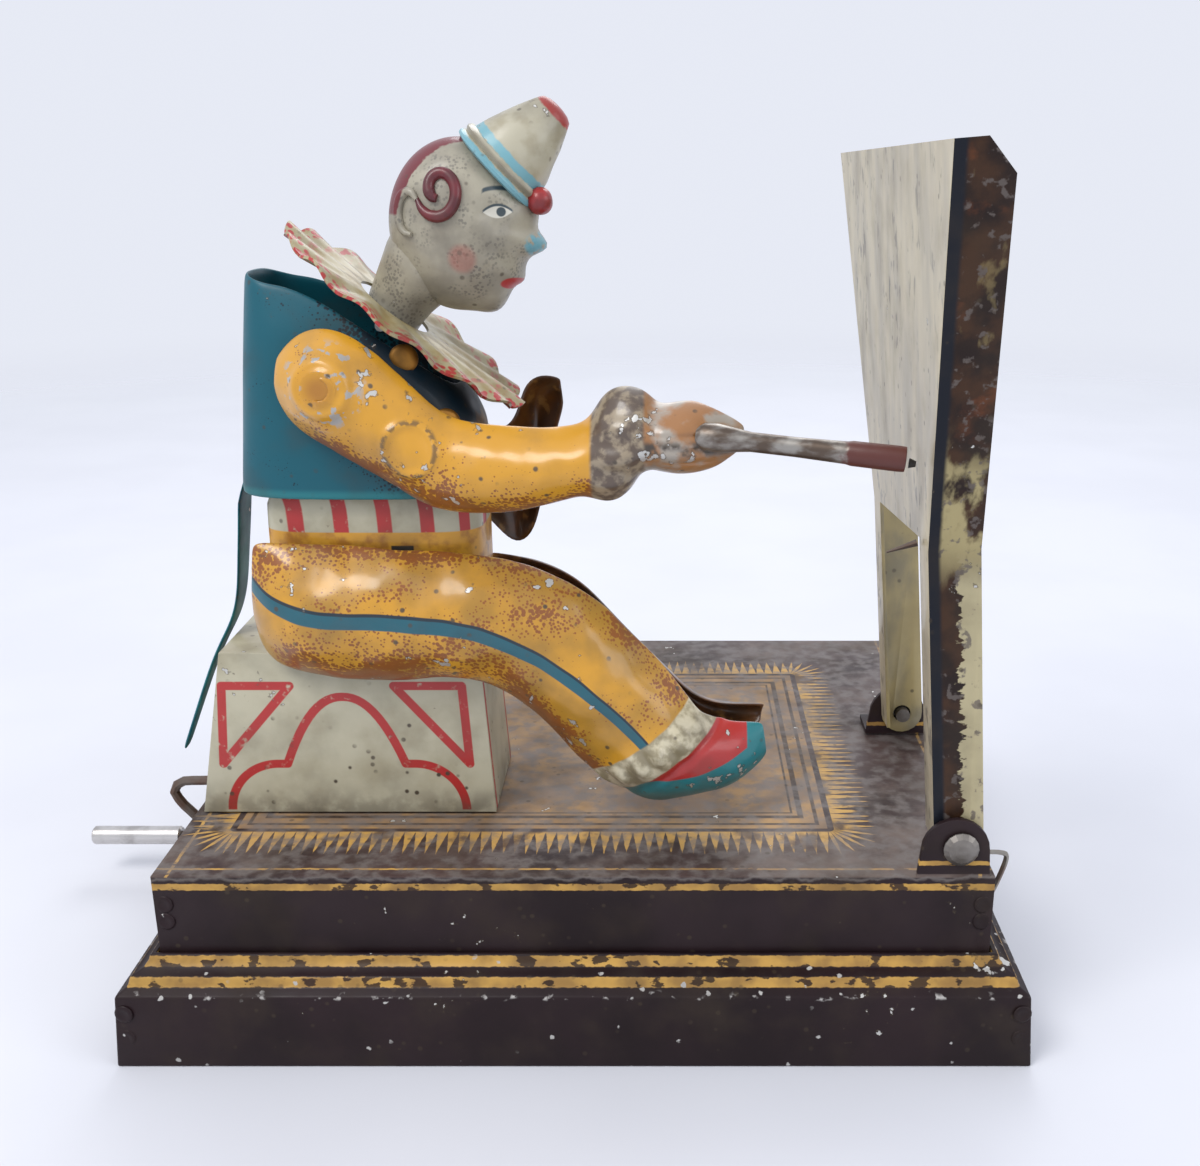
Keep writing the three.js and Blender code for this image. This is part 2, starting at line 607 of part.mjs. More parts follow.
// ---- Drawing arm ----
const arm = new THREE.Group();
toy.add(arm);
const armEdge = (x) => -29.2 - 0.16 * Math.max(0, x + 22);
const ARM_TOP = [
  [-36.5, 89.5], [-34, 92.5], [-30.5, 93.5], [-26.5, 92], [-21, 87], [-15.5, 82.5], [-8.5, 81.5],
  [-1, 81.5], [2.5, 82.5], [5.5, 87], [9.5, 86.5], [11, 84.5], [15, 85.5], [18.5, 84], [21.5, 82.5],
];
const ARM_BOTTOM = [
  [-37, 86], [-35.5, 82], [-30, 78], [-24, 74.5], [-18, 71], [-10.5, 70.5], [-3, 72], [2.5, 73.5],
  [4.5, 72.5], [7, 73.5], [9, 77], [13.5, 76.5], [18, 77.5], [21.5, 80.5],
];
piece(
  "near_arm",
  cut(
    pressing(ARM_TOP, ARM_BOTTOM, 30, armEdge, -5, TIN),
    rod(v3(SHOULDER.x, -40, SHOULDER.y), v3(SHOULDER.x, -20, SHOULDER.y), 1.3, 12),
  ),
  YELLOW,
  arm,
);
piece(
  "shoulder_shaft",
  join(
    rod(v3(SHOULDER.x, -35.8, SHOULDER.y), v3(SHOULDER.x, -16.6, SHOULDER.y), 1, 12),
    rod(v3(SHOULDER.x, -35.8, SHOULDER.y), v3(SHOULDER.x, -35.1, SHOULDER.y), 2.2, 16),
  ),
  STEEL,
  arm,
);
piece(
  "lift_finger",
  cut(
    block(SHOULDER.x - 2.4, SPINDLE.x + 1, -18.4, -16.8, SHOULDER.y - 0.7, SHOULDER.y + 2.2),
    rod(v3(SHOULDER.x, -20, SHOULDER.y), v3(SHOULDER.x, -15, SHOULDER.y), 1.3, 12),
  ),
  STEEL,
  arm,
);
const HOLDER = { from: v3(21.9, -39.4, 81.2), to: v3(40.4, -42.6, 79.7) };
piece("pencil_holder", rod(HOLDER.from, HOLDER.to, 1.15, ROUND, 1.55), BROWN, arm);
piece("pencil_lead", rod(v3(40.7, -42.7, 79.3), v3(41.5, -42.8, 79.2), 0.6, 10, 0.35), GRAPHITE, arm);

// ---- Head, which nods on the neck pin ----
const head = new THREE.Group();
toy.add(head);
const BRIM = { x: -8.9, z: 112.9, radius: 6.1, tip: 2.2, height: 9.2 };
const hatAxis = v3(0.73, 0, 0.684).normalize();
// The head is an oval, cut off flat under the hat's brim. Its features swell from it, each at its own
// bearing in degrees, with its height and its width in degrees.
const HEAD_CENTRE = [-14.6, 105.5];
const HEAD_OVAL = { long: 9.3, high: 10.9 };
const FEATURES = {
  brow: { at: 10, height: 0.9, width: 14 },
  nose: { at: -14, height: 2, width: 8 },
  lips: { at: -42, height: 0.7, width: 6 },
  chin: { at: -68, height: 1.2, width: 12 },
};
const brimReach = hatAxis.x * (BRIM.x - HEAD_CENTRE[0]) + hatAxis.z * (BRIM.z - HEAD_CENTRE[1]);
const HEAD_OUTLINE = range(60).map((i) => {
  const degrees = 6 * i - 180;
  const a = THREE.MathUtils.degToRad(degrees);
  const oval = 1 / Math.hypot(Math.cos(a) / HEAD_OVAL.long, Math.sin(a) / HEAD_OVAL.high);
  const swell = Object.values(FEATURES)
    .reduce((sum, { at, height, width }) => sum + height * Math.exp(-(((degrees - at) / width) ** 2)), 0);
  const towardsHat = hatAxis.x * Math.cos(a) + hatAxis.z * Math.sin(a);
  const r = towardsHat > 0 ? Math.min(oval + swell, brimReach / towardsHat) : oval + swell;
  return [HEAD_CENTRE[0] + r * Math.cos(a), HEAD_CENTRE[1] + r * Math.sin(a)];
});
const HEAD_LEVELS = [[1, 0], [0.96, 3.2], [0.84, 5.6], [0.62, 7.1], [0.3, 7.8]];
function headHalf(side) {
  const y = MIDPLANE + (side * GAP) / 2;
  const shell = dome(HEAD_OUTLINE, HEAD_CENTRE, y, HEAD_LEVELS.map(([s, rise]) => [s, side * rise]));
  const neck = rod(v3(-26.6, y, 90.2), v3(-20.6, y, 101), 4, 20);
  const far = y + side * 20;
  const half = block(-40, 10, Math.min(y, far), Math.max(y, far), 80, 130);
  const neckHalf = geometryOf(solid(neck).intersect(solid(half)));
  const hole = rod(v3(NECK.x, MIDPLANE - 8, NECK.y), v3(NECK.x, MIDPLANE + 8, NECK.y), 1, 10);
  return cut(join(shell, neckHalf), hole);
}
piece("head_near", headHalf(-1), CREAM, head);
piece("head_far", headHalf(1), CREAM, head);

const brimCentre = v3(BRIM.x, MIDPLANE, BRIM.z).addScaledVector(hatAxis, 0.6);
piece(
  "hat",
  rod(brimCentre, brimCentre.clone().addScaledVector(hatAxis, BRIM.height), BRIM.radius, 24, BRIM.tip),
  CREAM,
  head,
);
piece("pompom", new THREE.SphereGeometry(1.75, 14, 10).translate(-2.7, MIDPLANE - 2.5, 107.4), RED, head);

// ---- Easel, which tips on the two rivets ----
const easel = new THREE.Group();
easel.position.set(PIVOT.x, 0, PIVOT.z);
easel.rotation.y = -EASEL.lean;
toy.add(easel);
function easelFrame() {
  const { half, sheet: thick, height } = EASEL;
  const { nearY, farY } = PIVOT;
  const kink = 39.5;
  const strip = 5.6;
  const near = [v2(nearY, 0), v2(nearY, kink), v2(-61, height)];
  const far = [v2(farY, 0), v2(farY, kink - 3.6), v2(24, height - 0.3)];
  const front = panel([
    near[0], v2(nearY + strip, 0), v2(nearY + strip, kink + 0.4), v2(farY - strip, kink - 3),
    v2(farY - strip, 0), far[0], far[1], far[2], near[2], near[1],
  ], -half, -half + thick);
  // Each flange runs back from the front's edge, with its top corner cut off.
  const flange = (edge, inward) => {
    const inner = edge.map((p) => v2(p.x + inward * thick, p.y)).reverse();
    return panel([...edge, ...inner], -half, half);
  };
  const foot = (y) => rod(v3(0, y, 0), v3(0, y + thick, 0), half, 20);
  const hole = (y) => rod(v3(0, y - 1, 0), v3(0, y + 2, 0), RIVET.hole);
  const corner = [v2(-half + 1, height + 3), v2(half + 2, height + 3), v2(half + 2, height - 6.2)];
  const topCut = slab(corner, -80, 40);
  return cut(
    join(front, flange(near, 1), flange(far, -1), foot(nearY), foot(farY - thick)),
    hole(nearY), hole(farY - thick), topCut,
  );
}
piece("easel_frame", easelFrame(), LACQUER, easel);
piece("paper_prong", rod(v3(-3.6, -38.2, 39.4), v3(-7.4, -38, 38.4), 0.45, 8, 0.12), STEEL, easel);

export default toy;
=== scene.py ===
"""The looks of a hand-cranked tin drawing clown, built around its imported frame.

Helpers work in millimetres and divide by 1000 where a Blender mesh is made. The camera and lights are in metres.
"""

import json
import math

import bmesh
import bpy
from mathutils import Matrix, Vector, noise


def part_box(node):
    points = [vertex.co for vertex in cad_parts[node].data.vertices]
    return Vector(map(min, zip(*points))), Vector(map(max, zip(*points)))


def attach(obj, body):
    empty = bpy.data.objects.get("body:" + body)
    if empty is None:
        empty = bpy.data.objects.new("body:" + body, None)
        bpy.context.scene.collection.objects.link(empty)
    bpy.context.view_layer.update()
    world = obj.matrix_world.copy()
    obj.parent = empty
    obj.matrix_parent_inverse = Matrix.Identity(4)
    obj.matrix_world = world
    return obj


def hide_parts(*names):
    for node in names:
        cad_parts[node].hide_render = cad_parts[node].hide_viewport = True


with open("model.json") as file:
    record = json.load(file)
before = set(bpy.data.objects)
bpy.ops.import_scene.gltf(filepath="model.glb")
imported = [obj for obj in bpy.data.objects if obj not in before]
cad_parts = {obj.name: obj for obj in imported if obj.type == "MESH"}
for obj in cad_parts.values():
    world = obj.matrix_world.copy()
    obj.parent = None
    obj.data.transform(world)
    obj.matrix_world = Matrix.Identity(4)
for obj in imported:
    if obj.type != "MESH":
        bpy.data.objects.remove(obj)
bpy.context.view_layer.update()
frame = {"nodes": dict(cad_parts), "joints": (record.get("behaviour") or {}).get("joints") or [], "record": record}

MM = 0.001
CLEARANCE = 0.3
ACROSS = Vector((0, 1, 0))
BODY = {node: body for body, nodes in frame["record"]["behaviour"]["bodies"].items() for node in nodes}
SLOT = {row["node"]: row["material_slot"] for row in frame["record"]["subparts"]}
JOINT = {joint["name"]: Vector(joint.get("pos_m", (0, 0, 0))) / MM for joint in frame["joints"]}


def box_mm(node):
    """A CAD node's lowest and highest corners at rest, in millimetres."""
    low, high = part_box(node)
    return low / MM, high / MM


def middle_mm(node):
    """The middle of a CAD node's box, in millimetres."""
    low, high = box_mm(node)
    return (low + high) / 2


def add_object(name, data):
    """A new object at the origin."""
    added = bpy.data.objects.new(name, data)
    bpy.context.scene.collection.objects.link(added)
    return added


def shown_mesh(source):
    """A new mesh with what an object's curve or modifiers make."""
    graph = bpy.context.evaluated_depsgraph_get()
    return bpy.data.meshes.new_from_object(source.evaluated_get(graph))


# ---- Camera, light and floor ----
CAMERA_PLACE = Vector((0.0119, -0.1932, 0.1122))
CAMERA_PITCH = 17.6
CAMERA_LENS = 39.0
CAMERA_SHIFT = -0.054


def add_camera():
    data = bpy.data.cameras.new("camera")
    data.lens = CAMERA_LENS
    data.sensor_width = 36.0
    data.shift_x = CAMERA_SHIFT
    data.clip_start = 0.01
    camera = add_object("camera", data)
    camera.location = CAMERA_PLACE
    camera.rotation_euler = (math.radians(90 - CAMERA_PITCH), 0, 0)
    bpy.context.scene.camera = camera


LIT_PLACE = Vector((0, 0, 0.05))
LIGHTS = (("key", (-0.28, -0.3, 0.55), 0.3, 2.1, (1, 0.98, 0.95)),
          ("fill", (0.5, -0.25, 0.3), 0.35, 0.8, (0.95, 0.97, 1)),
          ("back", (0.05, 0.5, 0.5), 0.4, 1.3, (1, 1, 1)))
FLOOR_REACH = 4000
FADE_MIDDLE, FADE_WIDTH = 520, 330


def add_light(name, place, size, power, colour):
    data = bpy.data.lights.new(name, "AREA")
    data.shape = "DISK"
    data.size = size
    data.energy = power
    data.color = colour
    light = add_object(name, data)
    light.location = place
    light.rotation_euler = (LIT_PLACE - Vector(place)).to_track_quat("-Z", "Y").to_euler()


def floor_material():
    """A pale floor that fades into the background colour with distance, so no horizon shows."""
    s = Surface("floor")
    paint = s.mottle((0.68, 0.69, 0.735), (0.65, 0.66, 0.705), 60, 3, 0, 0.5, 0.2)
    s.finish(paint, s.noise(20, 3) * 0.1 + 0.7)
    out = s.tree.nodes["Material Output"]
    shader = out.inputs[0].links[0].from_socket
    clear = s.node("BsdfTransparent")
    fade = s.node("MixShader")
    s.link(length(s.x, s.y).above(FADE_MIDDLE, FADE_WIDTH).socket, fade.inputs[0])
    s.link(shader, fade.inputs[1])
    s.link(clear.outputs[0], fade.inputs[2])
    s.link(fade.outputs[0], out.inputs[0])
    return s.material


def add_studio():
    world = bpy.data.worlds.new("studio")
    world.use_nodes = True
    background = world.node_tree.nodes["Background"]
    background.inputs["Color"].default_value = (0.83, 0.86, 0.95, 1)
    background.inputs["Strength"].default_value = 0.96
    bpy.context.scene.world = world
    bpy.context.scene.view_settings.view_transform = "Standard"
    for light in LIGHTS:
        add_light(*light)
    corners = [(x * FLOOR_REACH, y * FLOOR_REACH, 0) for x, y in ((-1, -1), (1, -1), (1, 1), (-1, 1))]
    floor = add_mesh("floor", corners, [(0, 1, 2, 3)])
    floor.data.materials.append(floor_material())


# ---- Shader tools ----
class Field:
    """A number that varies over a surface, worked out by math nodes."""

    def __init__(self, tree, socket):
        self.tree = tree
        self.socket = socket

    def math(self, operation, *others, clamp=False):
        node = self.tree.nodes.new("ShaderNodeMath")
        node.operation = operation
        node.use_clamp = clamp
        for entry, value in zip(node.inputs, (self, *others)):
            if isinstance(value, Field):
                self.tree.links.new(value.socket, entry)
            else:
                entry.default_value = value
        return Field(self.tree, node.outputs[0])

    def __add__(self, other):
        return self.math("ADD", other)

    def __sub__(self, other):
        return self.math("SUBTRACT", other)

    def __rsub__(self, other):
        return (self * -1).math("ADD", other)

    def __mul__(self, other):
        return self.math("MULTIPLY", other)

    __radd__ = __add__
    __rmul__ = __mul__

    def abs(self):
        return self.math("ABSOLUTE")

    def most(self, other):
        return self.math("MAXIMUM", other)

    def least(self, other):
        return self.math("MINIMUM", other)

    def above(self, edge, soft=0.05):
        """1 where the field is over the edge, with a soft step this wide each way."""
        node = self.tree.nodes.new("ShaderNodeMapRange")
        node.interpolation_type = "SMOOTHSTEP"
        self.tree.links.new(self.socket, node.inputs["Value"])
        node.inputs["From Min"].default_value = edge - soft
        node.inputs["From Max"].default_value = edge + soft
        return Field(self.tree, node.outputs["Result"])

    def below(self, edge, soft=0.05):
        return 1 - self.above(edge, soft)

    def within(self, half, soft=0.05):
        return self.abs().below(half, soft)


def length(a, b):
    """How far the point (a, b) lies from the origin."""
    return (a * a + b * b).math("SQRT")


class Surface:
    """One material being built. x, y and z are fields in millimetres in the frame."""

    def __init__(self, name):
        self.material = bpy.data.materials.new(name)
        self.material.use_nodes = True
        self.tree = self.material.node_tree
        self.tree.nodes.clear()
        coordinates = self.node("TexCoord")
        self.place = self.vector("SCALE", coordinates.outputs["Object"], scale=1 / MM)
        parts = self.node("SeparateXYZ")
        self.link(self.place, parts.inputs[0])
        self.x, self.y, self.z = (Field(self.tree, out) for out in parts.outputs)

    def node(self, kind):
        return self.tree.nodes.new("ShaderNode" + kind)

    def link(self, source, entry):
        self.tree.links.new(source, entry)

    def vector(self, operation, socket, other=None, scale=None):
        node = self.node("VectorMath")
        node.operation = operation
        self.link(socket, node.inputs[0])
        if other is not None:
            node.inputs[1].default_value = other
        if scale is not None:
            node.inputs["Scale"].default_value = scale
        return node.outputs[0]

    def scaled_place(self, size, stretch, seed):
        spread = self.vector("MULTIPLY", self.place, [1 / (size * s) for s in stretch])
        return self.vector("ADD", spread, (seed * 7.31, seed * 3.17, seed * 5.53))

    def noise(self, size, detail=3.0, stretch=(1, 1, 1), seed=0.0):
        """Cloudy noise from about 0.2 to 0.8, its blobs this many millimetres across."""
        node = self.node("TexNoise")
        node.inputs["Scale"].default_value = 1.0
        node.inputs["Detail"].default_value = detail
        self.link(self.scaled_place(size, stretch, seed), node.inputs["Vector"])
        return Field(self.tree, node.outputs["Fac"])

    def patches(self, size, detail, seed, edge, soft):
        """1 where such noise is over the edge."""
        return self.noise(size, detail, seed=seed).above(edge, soft)

    def cells(self, size, seed):
        """The distance to the nearest of scattered points, in units of their spacing."""
        node = self.node("TexVoronoi")
        node.inputs["Scale"].default_value = 1.0
        self.link(self.scaled_place(size, (1, 1, 1), seed), node.inputs["Vector"])
        return Field(self.tree, node.outputs["Distance"])

    def curve(self, field, pairs):
        """A smooth curve through (field value, result) pairs."""
        (x0, x1), (y0, y1) = ((min(v), max(v)) for v in zip(*pairs))
        node = self.node("FloatCurve")
        line = node.mapping.curves[0]
        places = [((x - x0) / (x1 - x0), (y - y0) / (y1 - y0)) for x, y in sorted(pairs)]
        line.points[0].location = places[0]
        line.points[1].location = places[-1]
        for place in places[1:-1]:
            line.points.new(*place)
        node.mapping.update()
        self.link(((field - x0) * (1 / (x1 - x0))).socket, node.inputs["Value"])
        return Field(self.tree, node.outputs[0]) * (y1 - y0) + y0

    def segment(self, u, v, start, end):
        """The distance from (u, v) to a straight line between two points."""
        du, dv = end[0] - start[0], end[1] - start[1]
        share = 1 / (du * du + dv * dv)
        along = ((u - start[0]) * (du * share) + (v - start[1]) * (dv * share)).math("ADD", 0.0, clamp=True)
        return length(u - start[0] - along * du, v - start[1] - along * dv)

    def path(self, u, v, points):
        """The distance from (u, v) to a line through the points."""
        nearest = None
        for start, end in zip(points, points[1:]):
            distance = self.segment(u, v, start, end)
            nearest = distance if nearest is None else nearest.least(distance)
        return nearest

    def mix(self, under, over, share):
        """One colour laid over another. Each is three numbers or a socket."""
        node = self.node("Mix")
        node.data_type = "RGBA"
        self.link(share.math("ADD", 0.0, clamp=True).socket, node.inputs[0])
        for entry, colour in ((node.inputs[6], under), (node.inputs[7], over)):
            if isinstance(colour, bpy.types.NodeSocket):
                self.link(colour, entry)
            else:
                entry.default_value = (*colour, 1)
        return node.outputs[2]

    def mottle(self, under, over, size, detail, seed, edge, soft, share=1.0):
        """One colour in patches over another."""
        return self.mix(under, over, self.patches(size, detail, seed, edge, soft) * share)

    def finish(self, colour, roughness, metallic=None, height=None, depth=0.05, coat=0.0, shine=0.5):
        """Closes the material. height is a field from 0 to 1, and depth is its size in millimetres."""
        shader = self.node("BsdfPrincipled")
        self.link(colour, shader.inputs["Base Color"])
        self.link(roughness.socket, shader.inputs["Roughness"])
        if isinstance(metallic, Field):
            self.link(metallic.socket, shader.inputs["Metallic"])
        elif metallic is not None:
            shader.inputs["Metallic"].default_value = metallic
        shader.inputs["Specular IOR Level"].default_value = shine
        shader.inputs["Coat Weight"].default_value = coat
        shader.inputs["Coat Roughness"].default_value = 0.15
        if height is not None:
            bump = self.node("Bump")
            bump.inputs["Distance"].default_value = depth * MM
            self.link(height.socket, bump.inputs["Height"])
            self.link(bump.outputs[0], shader.inputs["Normal"])
        out = self.node("OutputMaterial")
        self.link(shader.outputs[0], out.inputs[0])
        return self.material


# ---- Colours ----
CREAM = (0.46, 0.43, 0.31)
CREAM_DARK = (0.27, 0.23, 0.14)
YELLOW = (0.6, 0.29, 0.016)
ORANGE = (0.25, 0.075, 0.008)
TEAL = (0.004, 0.09, 0.125)
TEAL_DARK = (0.003, 0.016, 0.028)
RED = (0.4, 0.018, 0.016)
RED_DARK = (0.14, 0.01, 0.016)
PALE_BLUE = (0.1, 0.36, 0.45)
GOLD = (0.5, 0.29, 0.07)
LACQUER = (0.012, 0.006, 0.007)
BROWN = (0.13, 0.045, 0.008)
INSIDE = (0.055, 0.022, 0.007)
BARE = (0.58, 0.57, 0.54)
GRIME = (0.055, 0.04, 0.025)
DUST = (0.3, 0.24, 0.2)
RUST = (0.12, 0.035, 0.012)
BRASS = (0.5, 0.34, 0.12)


def tin(s, paint, chips=1.12, grime=0.45, gloss=0.3, specks=0.7, grain=0.25, coat=0.3, shine=0.5):
    """Closes a material as printed tin: grime, dark specks, chips down to metal, and a clear gloss.

    chips is the level that the chip noise, about 0.85 on average, has to pass.
    """
    cloud = s.noise(8, 5, seed=1)
    paint = s.mix(paint, GRIME, cloud.above(0.6, 0.16) * grime)
    spots = s.cells(2.3, seed=2).below(0.14, 0.05) * s.patches(7, 2, 3, 0.5, 0.07)
    paint = s.mix(paint, GRIME, spots * specks)
    chip = s.noise(1.7, 5, seed=4) + s.noise(11, 2, seed=5) * 0.7
    rim = chip.above(chips - 0.03, 0.02)
    worn = chip.above(chips, 0.008)
    paint = s.mix(paint, GRIME, rim * 0.6)
    paint = s.mix(paint, BARE, worn)
    smear = s.noise(3, 4, seed=6)
    roughness = gloss + smear * 0.2 + cloud.above(0.55, 0.15) * 0.15 + worn * 0.1
    height = (1 - worn) * 0.7 + s.noise(0.8, 3, seed=7) * grain
    return s.finish(paint, roughness, worn * 0.75, height, 0.06, coat, shine)


def metal(name, colour, roughness, dull=GRIME, dullness=0.5):
    """Plain sheet or wire with tarnish."""
    s = Surface(name)
    tarnish = s.noise(3.5, 5, seed=1)
    mixed = s.mix(colour, dull, tarnish.above(0.55, 0.15) * dullness)
    scratch = s.noise(0.5, 2, (1, 1, 6), seed=2)
    return s.finish(mixed, roughness + tarnish * 0.25, 0.9, scratch, 0.01)


# ---- Mesh tools ----
def add_mesh(name, points, faces):
    mesh = bpy.data.meshes.new(name)
    mesh.from_pydata([Vector(p) * MM for p in points], [], faces)
    return add_object(name, mesh)


def edit(piece, work):
    """Runs a function on the piece's mesh as a bmesh."""
    bm = bmesh.new()
    bm.from_mesh(piece.data)
    work(bm)
    bm.to_mesh(piece.data)
    bm.free()
    return piece


def modify(piece, kind, **settings):
    """Adds a modifier and applies it."""
    modifier = piece.modifiers.new(kind, kind)
    for key, value in settings.items():
        setattr(modifier, key, value)
    mesh = shown_mesh(piece)
    piece.modifiers.clear()
    piece.data = mesh
    return piece


def shade(piece, angle=None):
    """Smooth shading, with edges sharper than the angle in degrees left sharp."""
    piece.data.polygons.foreach_set("use_smooth", [True] * len(piece.data.polygons))
    if angle is not None:
        piece.data.set_sharp_from_angle(angle=math.radians(angle))
    return piece


def dress(piece, *materials):
    piece.data.materials.clear()
    for material in materials:
        piece.data.materials.append(material)
    return piece


def belongs(piece, node, *materials):
    """The piece is an addition to what a CAD node shows. Any materials given are put on it."""
    if materials:
        dress(piece, *materials)
    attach(piece, BODY[node])
    return piece


def stands_for(piece, node, *materials):
    """The piece is shown in place of a CAD node."""
    belongs(piece, node, *materials)
    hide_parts(node)
    return piece


def copy_of(node, name):
    """A new piece with a CAD node's shape, its flat faces made whole."""
    mesh = frame["nodes"][node].data.copy()
    mesh.name = name
    return edit(add_object(name, mesh), lambda bm: bmesh.ops.remove_doubles(bm, verts=bm.verts, dist=1e-6))


def pressed_copy(node, name, levels):
    """A CAD sheet as quads, made smooth by subdivision."""
    piece = copy_of(node, name)

    def to_quads(bm):
        limit = math.radians(60)
        bmesh.ops.join_triangles(bm, faces=bm.faces, angle_face_threshold=limit, angle_shape_threshold=limit)

    edit(piece, to_quads)
    modify(piece, "SUBSURF", levels=levels, render_levels=levels)
    return shade(piece)


def folded_copy(node, name, radius, segments=3):
    """A CAD sheet-metal box with rounded edges."""
    piece = copy_of(node, name)

    def flatten(bm):
        bmesh.ops.dissolve_limit(bm, angle_limit=math.radians(1), verts=bm.verts, edges=bm.edges)

    edit(piece, flatten)
    modify(piece, "BEVEL", width=radius * MM, segments=segments, limit_method="ANGLE",
           angle_limit=math.radians(35), use_clamp_overlap=True)
    return shade(piece, 50)


def turned(steps, around, place):
    """Rows of points from place(share, angle), where share goes from 0 to 1 and angle round a full turn."""
    return [[place(i / steps, 2 * math.pi * j / around) for j in range(around)] for i in range(steps + 1)]


def grid(name, rows, facing=None):
    """A sheet through rows of points, each row a closed ring. facing turns its normals that way."""
    wide = len(rows[0])
    points = [p for row in rows for p in row]
    faces = []
    for i in range(len(rows) - 1):
        for j in range(wide):
            k = (j + 1) % wide
            faces.append((i * wide + j, i * wide + k, (i + 1) * wide + k, (i + 1) * wide + j))
    piece = add_mesh(name, points, faces)
    edit(piece, lambda bm: bmesh.ops.remove_doubles(bm, verts=bm.verts, dist=1e-7))
    if facing is not None:
        total = sum((p.normal * p.area for p in piece.data.polygons), Vector())
        if total.dot(Vector(facing)) < 0:
            edit(piece, lambda bm: bmesh.ops.reverse_faces(bm, faces=bm.faces))
    else:
        edit(piece, lambda bm: bmesh.ops.recalc_face_normals(bm, faces=bm.faces))
    return piece


def lathe(name, profile, origin, axis, sides=48, angle=40):
    """Turns (radius, height) pairs around an axis."""
    turn = Vector((0, 0, 1)).rotation_difference(Vector(axis).normalized())
    angles = [2 * math.pi * i / sides for i in range(sides)]
    rows = [[Vector(origin) + turn @ Vector((radius * math.cos(a), radius * math.sin(a), height)) for a in angles]
            for radius, height in profile]
    return shade(grid(name, rows), angle)


def tube(name, points, radius, sides, radii):
    """A round wire along a smooth curve. radii holds its thickness at each point, as a share of the radius."""
    data = bpy.data.curves.new(name, "CURVE")
    data.dimensions = "3D"
    data.bevel_depth = radius * MM
    data.bevel_resolution = sides
    data.resolution_u = 8
    data.use_fill_caps = True
    spline = data.splines.new("BEZIER")
    spline.bezier_points.add(len(points) - 1)
    for i, (knot, place) in enumerate(zip(spline.bezier_points, points)):
        knot.co = Vector(place) * MM
        knot.handle_left_type = knot.handle_right_type = "AUTO"
        knot.radius = radii[i]
    source = add_object(name + "_curve", data)
    mesh = shown_mesh(source)
    bpy.data.objects.remove(source)
    return shade(add_object(name, mesh), 60)


def relief(piece, height):
    """Raises each point towards the near side by height(x, z), in millimetres."""
    for vertex in piece.data.vertices:
        x, _, z = vertex.co / MM
        vertex.co += -ACROSS * (height(x, z) * MM)
    piece.data.update()
    return piece


NARROWING = 0.06


def reach_up(piece, start, fade, move, middle=None):
    """Moves what lies above a height, to close a gap. With a middle, it also narrows towards it."""
    for vertex in piece.data.vertices:
        place = vertex.co / MM
        share = min(1, max(0, (place.z - start) / fade))
        if middle is not None:
            place.x += (middle.x - place.x) * NARROWING * share
            place.y += (middle.y - place.y) * NARROWING * share
        vertex.co = (place + move * share) * MM
    piece.data.update()


def back_material(piece, slot):
    """Gives another material to the skin that faces the far side."""
    for polygon in piece.data.polygons:
        if polygon.normal.dot(-ACROSS) < -0.05:
            polygon.material_index = slot
    return piece


def bump_at(distance, radius, width):
    """A smooth rise on a ring of that radius."""
    return math.exp(-(((distance - radius) / width) ** 2))


def dent(x, z, size, seed):
    """Smooth unevenness from -1 to 1."""
    return noise.noise(Vector((x / size, z / size, seed)))


def surface_y(piece, x, z, side=-1):
    """The piece's height along Y where a line through (x, z) first meets it from that side."""
    start = Vector((x * MM, side * 0.2, z * MM))
    return piece.ray_cast(start, Vector((0, -side, 0)))[1].y / MM


# ---- Base ----
BASE_LOW, BASE_HIGH = box_mm("base_box")
PLATE_TOP = box_mm("seat_box")[0].z - CLEARANCE
PLINTH_LINES = ((13.4, 0.62, 0.6), (11.5, 0.6, 0.58))
PLINTH_RIM = 10.2
CRIMPS = (("base_box", 18.5), ("base_box", 21.0), ("plinth_frame", 7.8), ("plinth_frame", 4.2))
CRIMP_PROFILE = [(1.25, 0), (1.2, 0.1), (1.05, 0.16), (0.75, 0.17), (0.6, 0.12), (0.0, 0.1)]
RUG = {"x0": -47.5, "x1": 34.5, "y0": -31.4, "y1": 26.0}
RUG_LINES = ((-1.3, 0.28), (-3.4, 0.4), (-4.6, 0.16))
SPIKE = {"pitch": 1.5, "reach": 6.6, "start": 0.9}


def edge_wear(s, field, edge, reach, amount=0.3):
    """A ragged mask close to where the field meets the edge."""
    return (field - edge + (s.noise(2.2, 5, seed=11) - 0.5) * reach * 2).within(reach * amount, reach * 0.3)


def gold_line(s, paint, field, centre, half, loss=0.6):
    """A printed gold line that has flaked off in places."""
    flaked = s.noise(1.5, 5, (1.6, 1, 1), seed=12).above(loss, 0.02)
    ragged = field - centre + (s.noise(0.9, 3, seed=13) - 0.5) * 0.35
    tone = s.mottle(GOLD, (0.3, 0.17, 0.05), 4, 3, 14, 0.5, 0.15)
    return s.mix(paint, tone, ragged.within(half, 0.06) * (1 - flaked * 0.9))


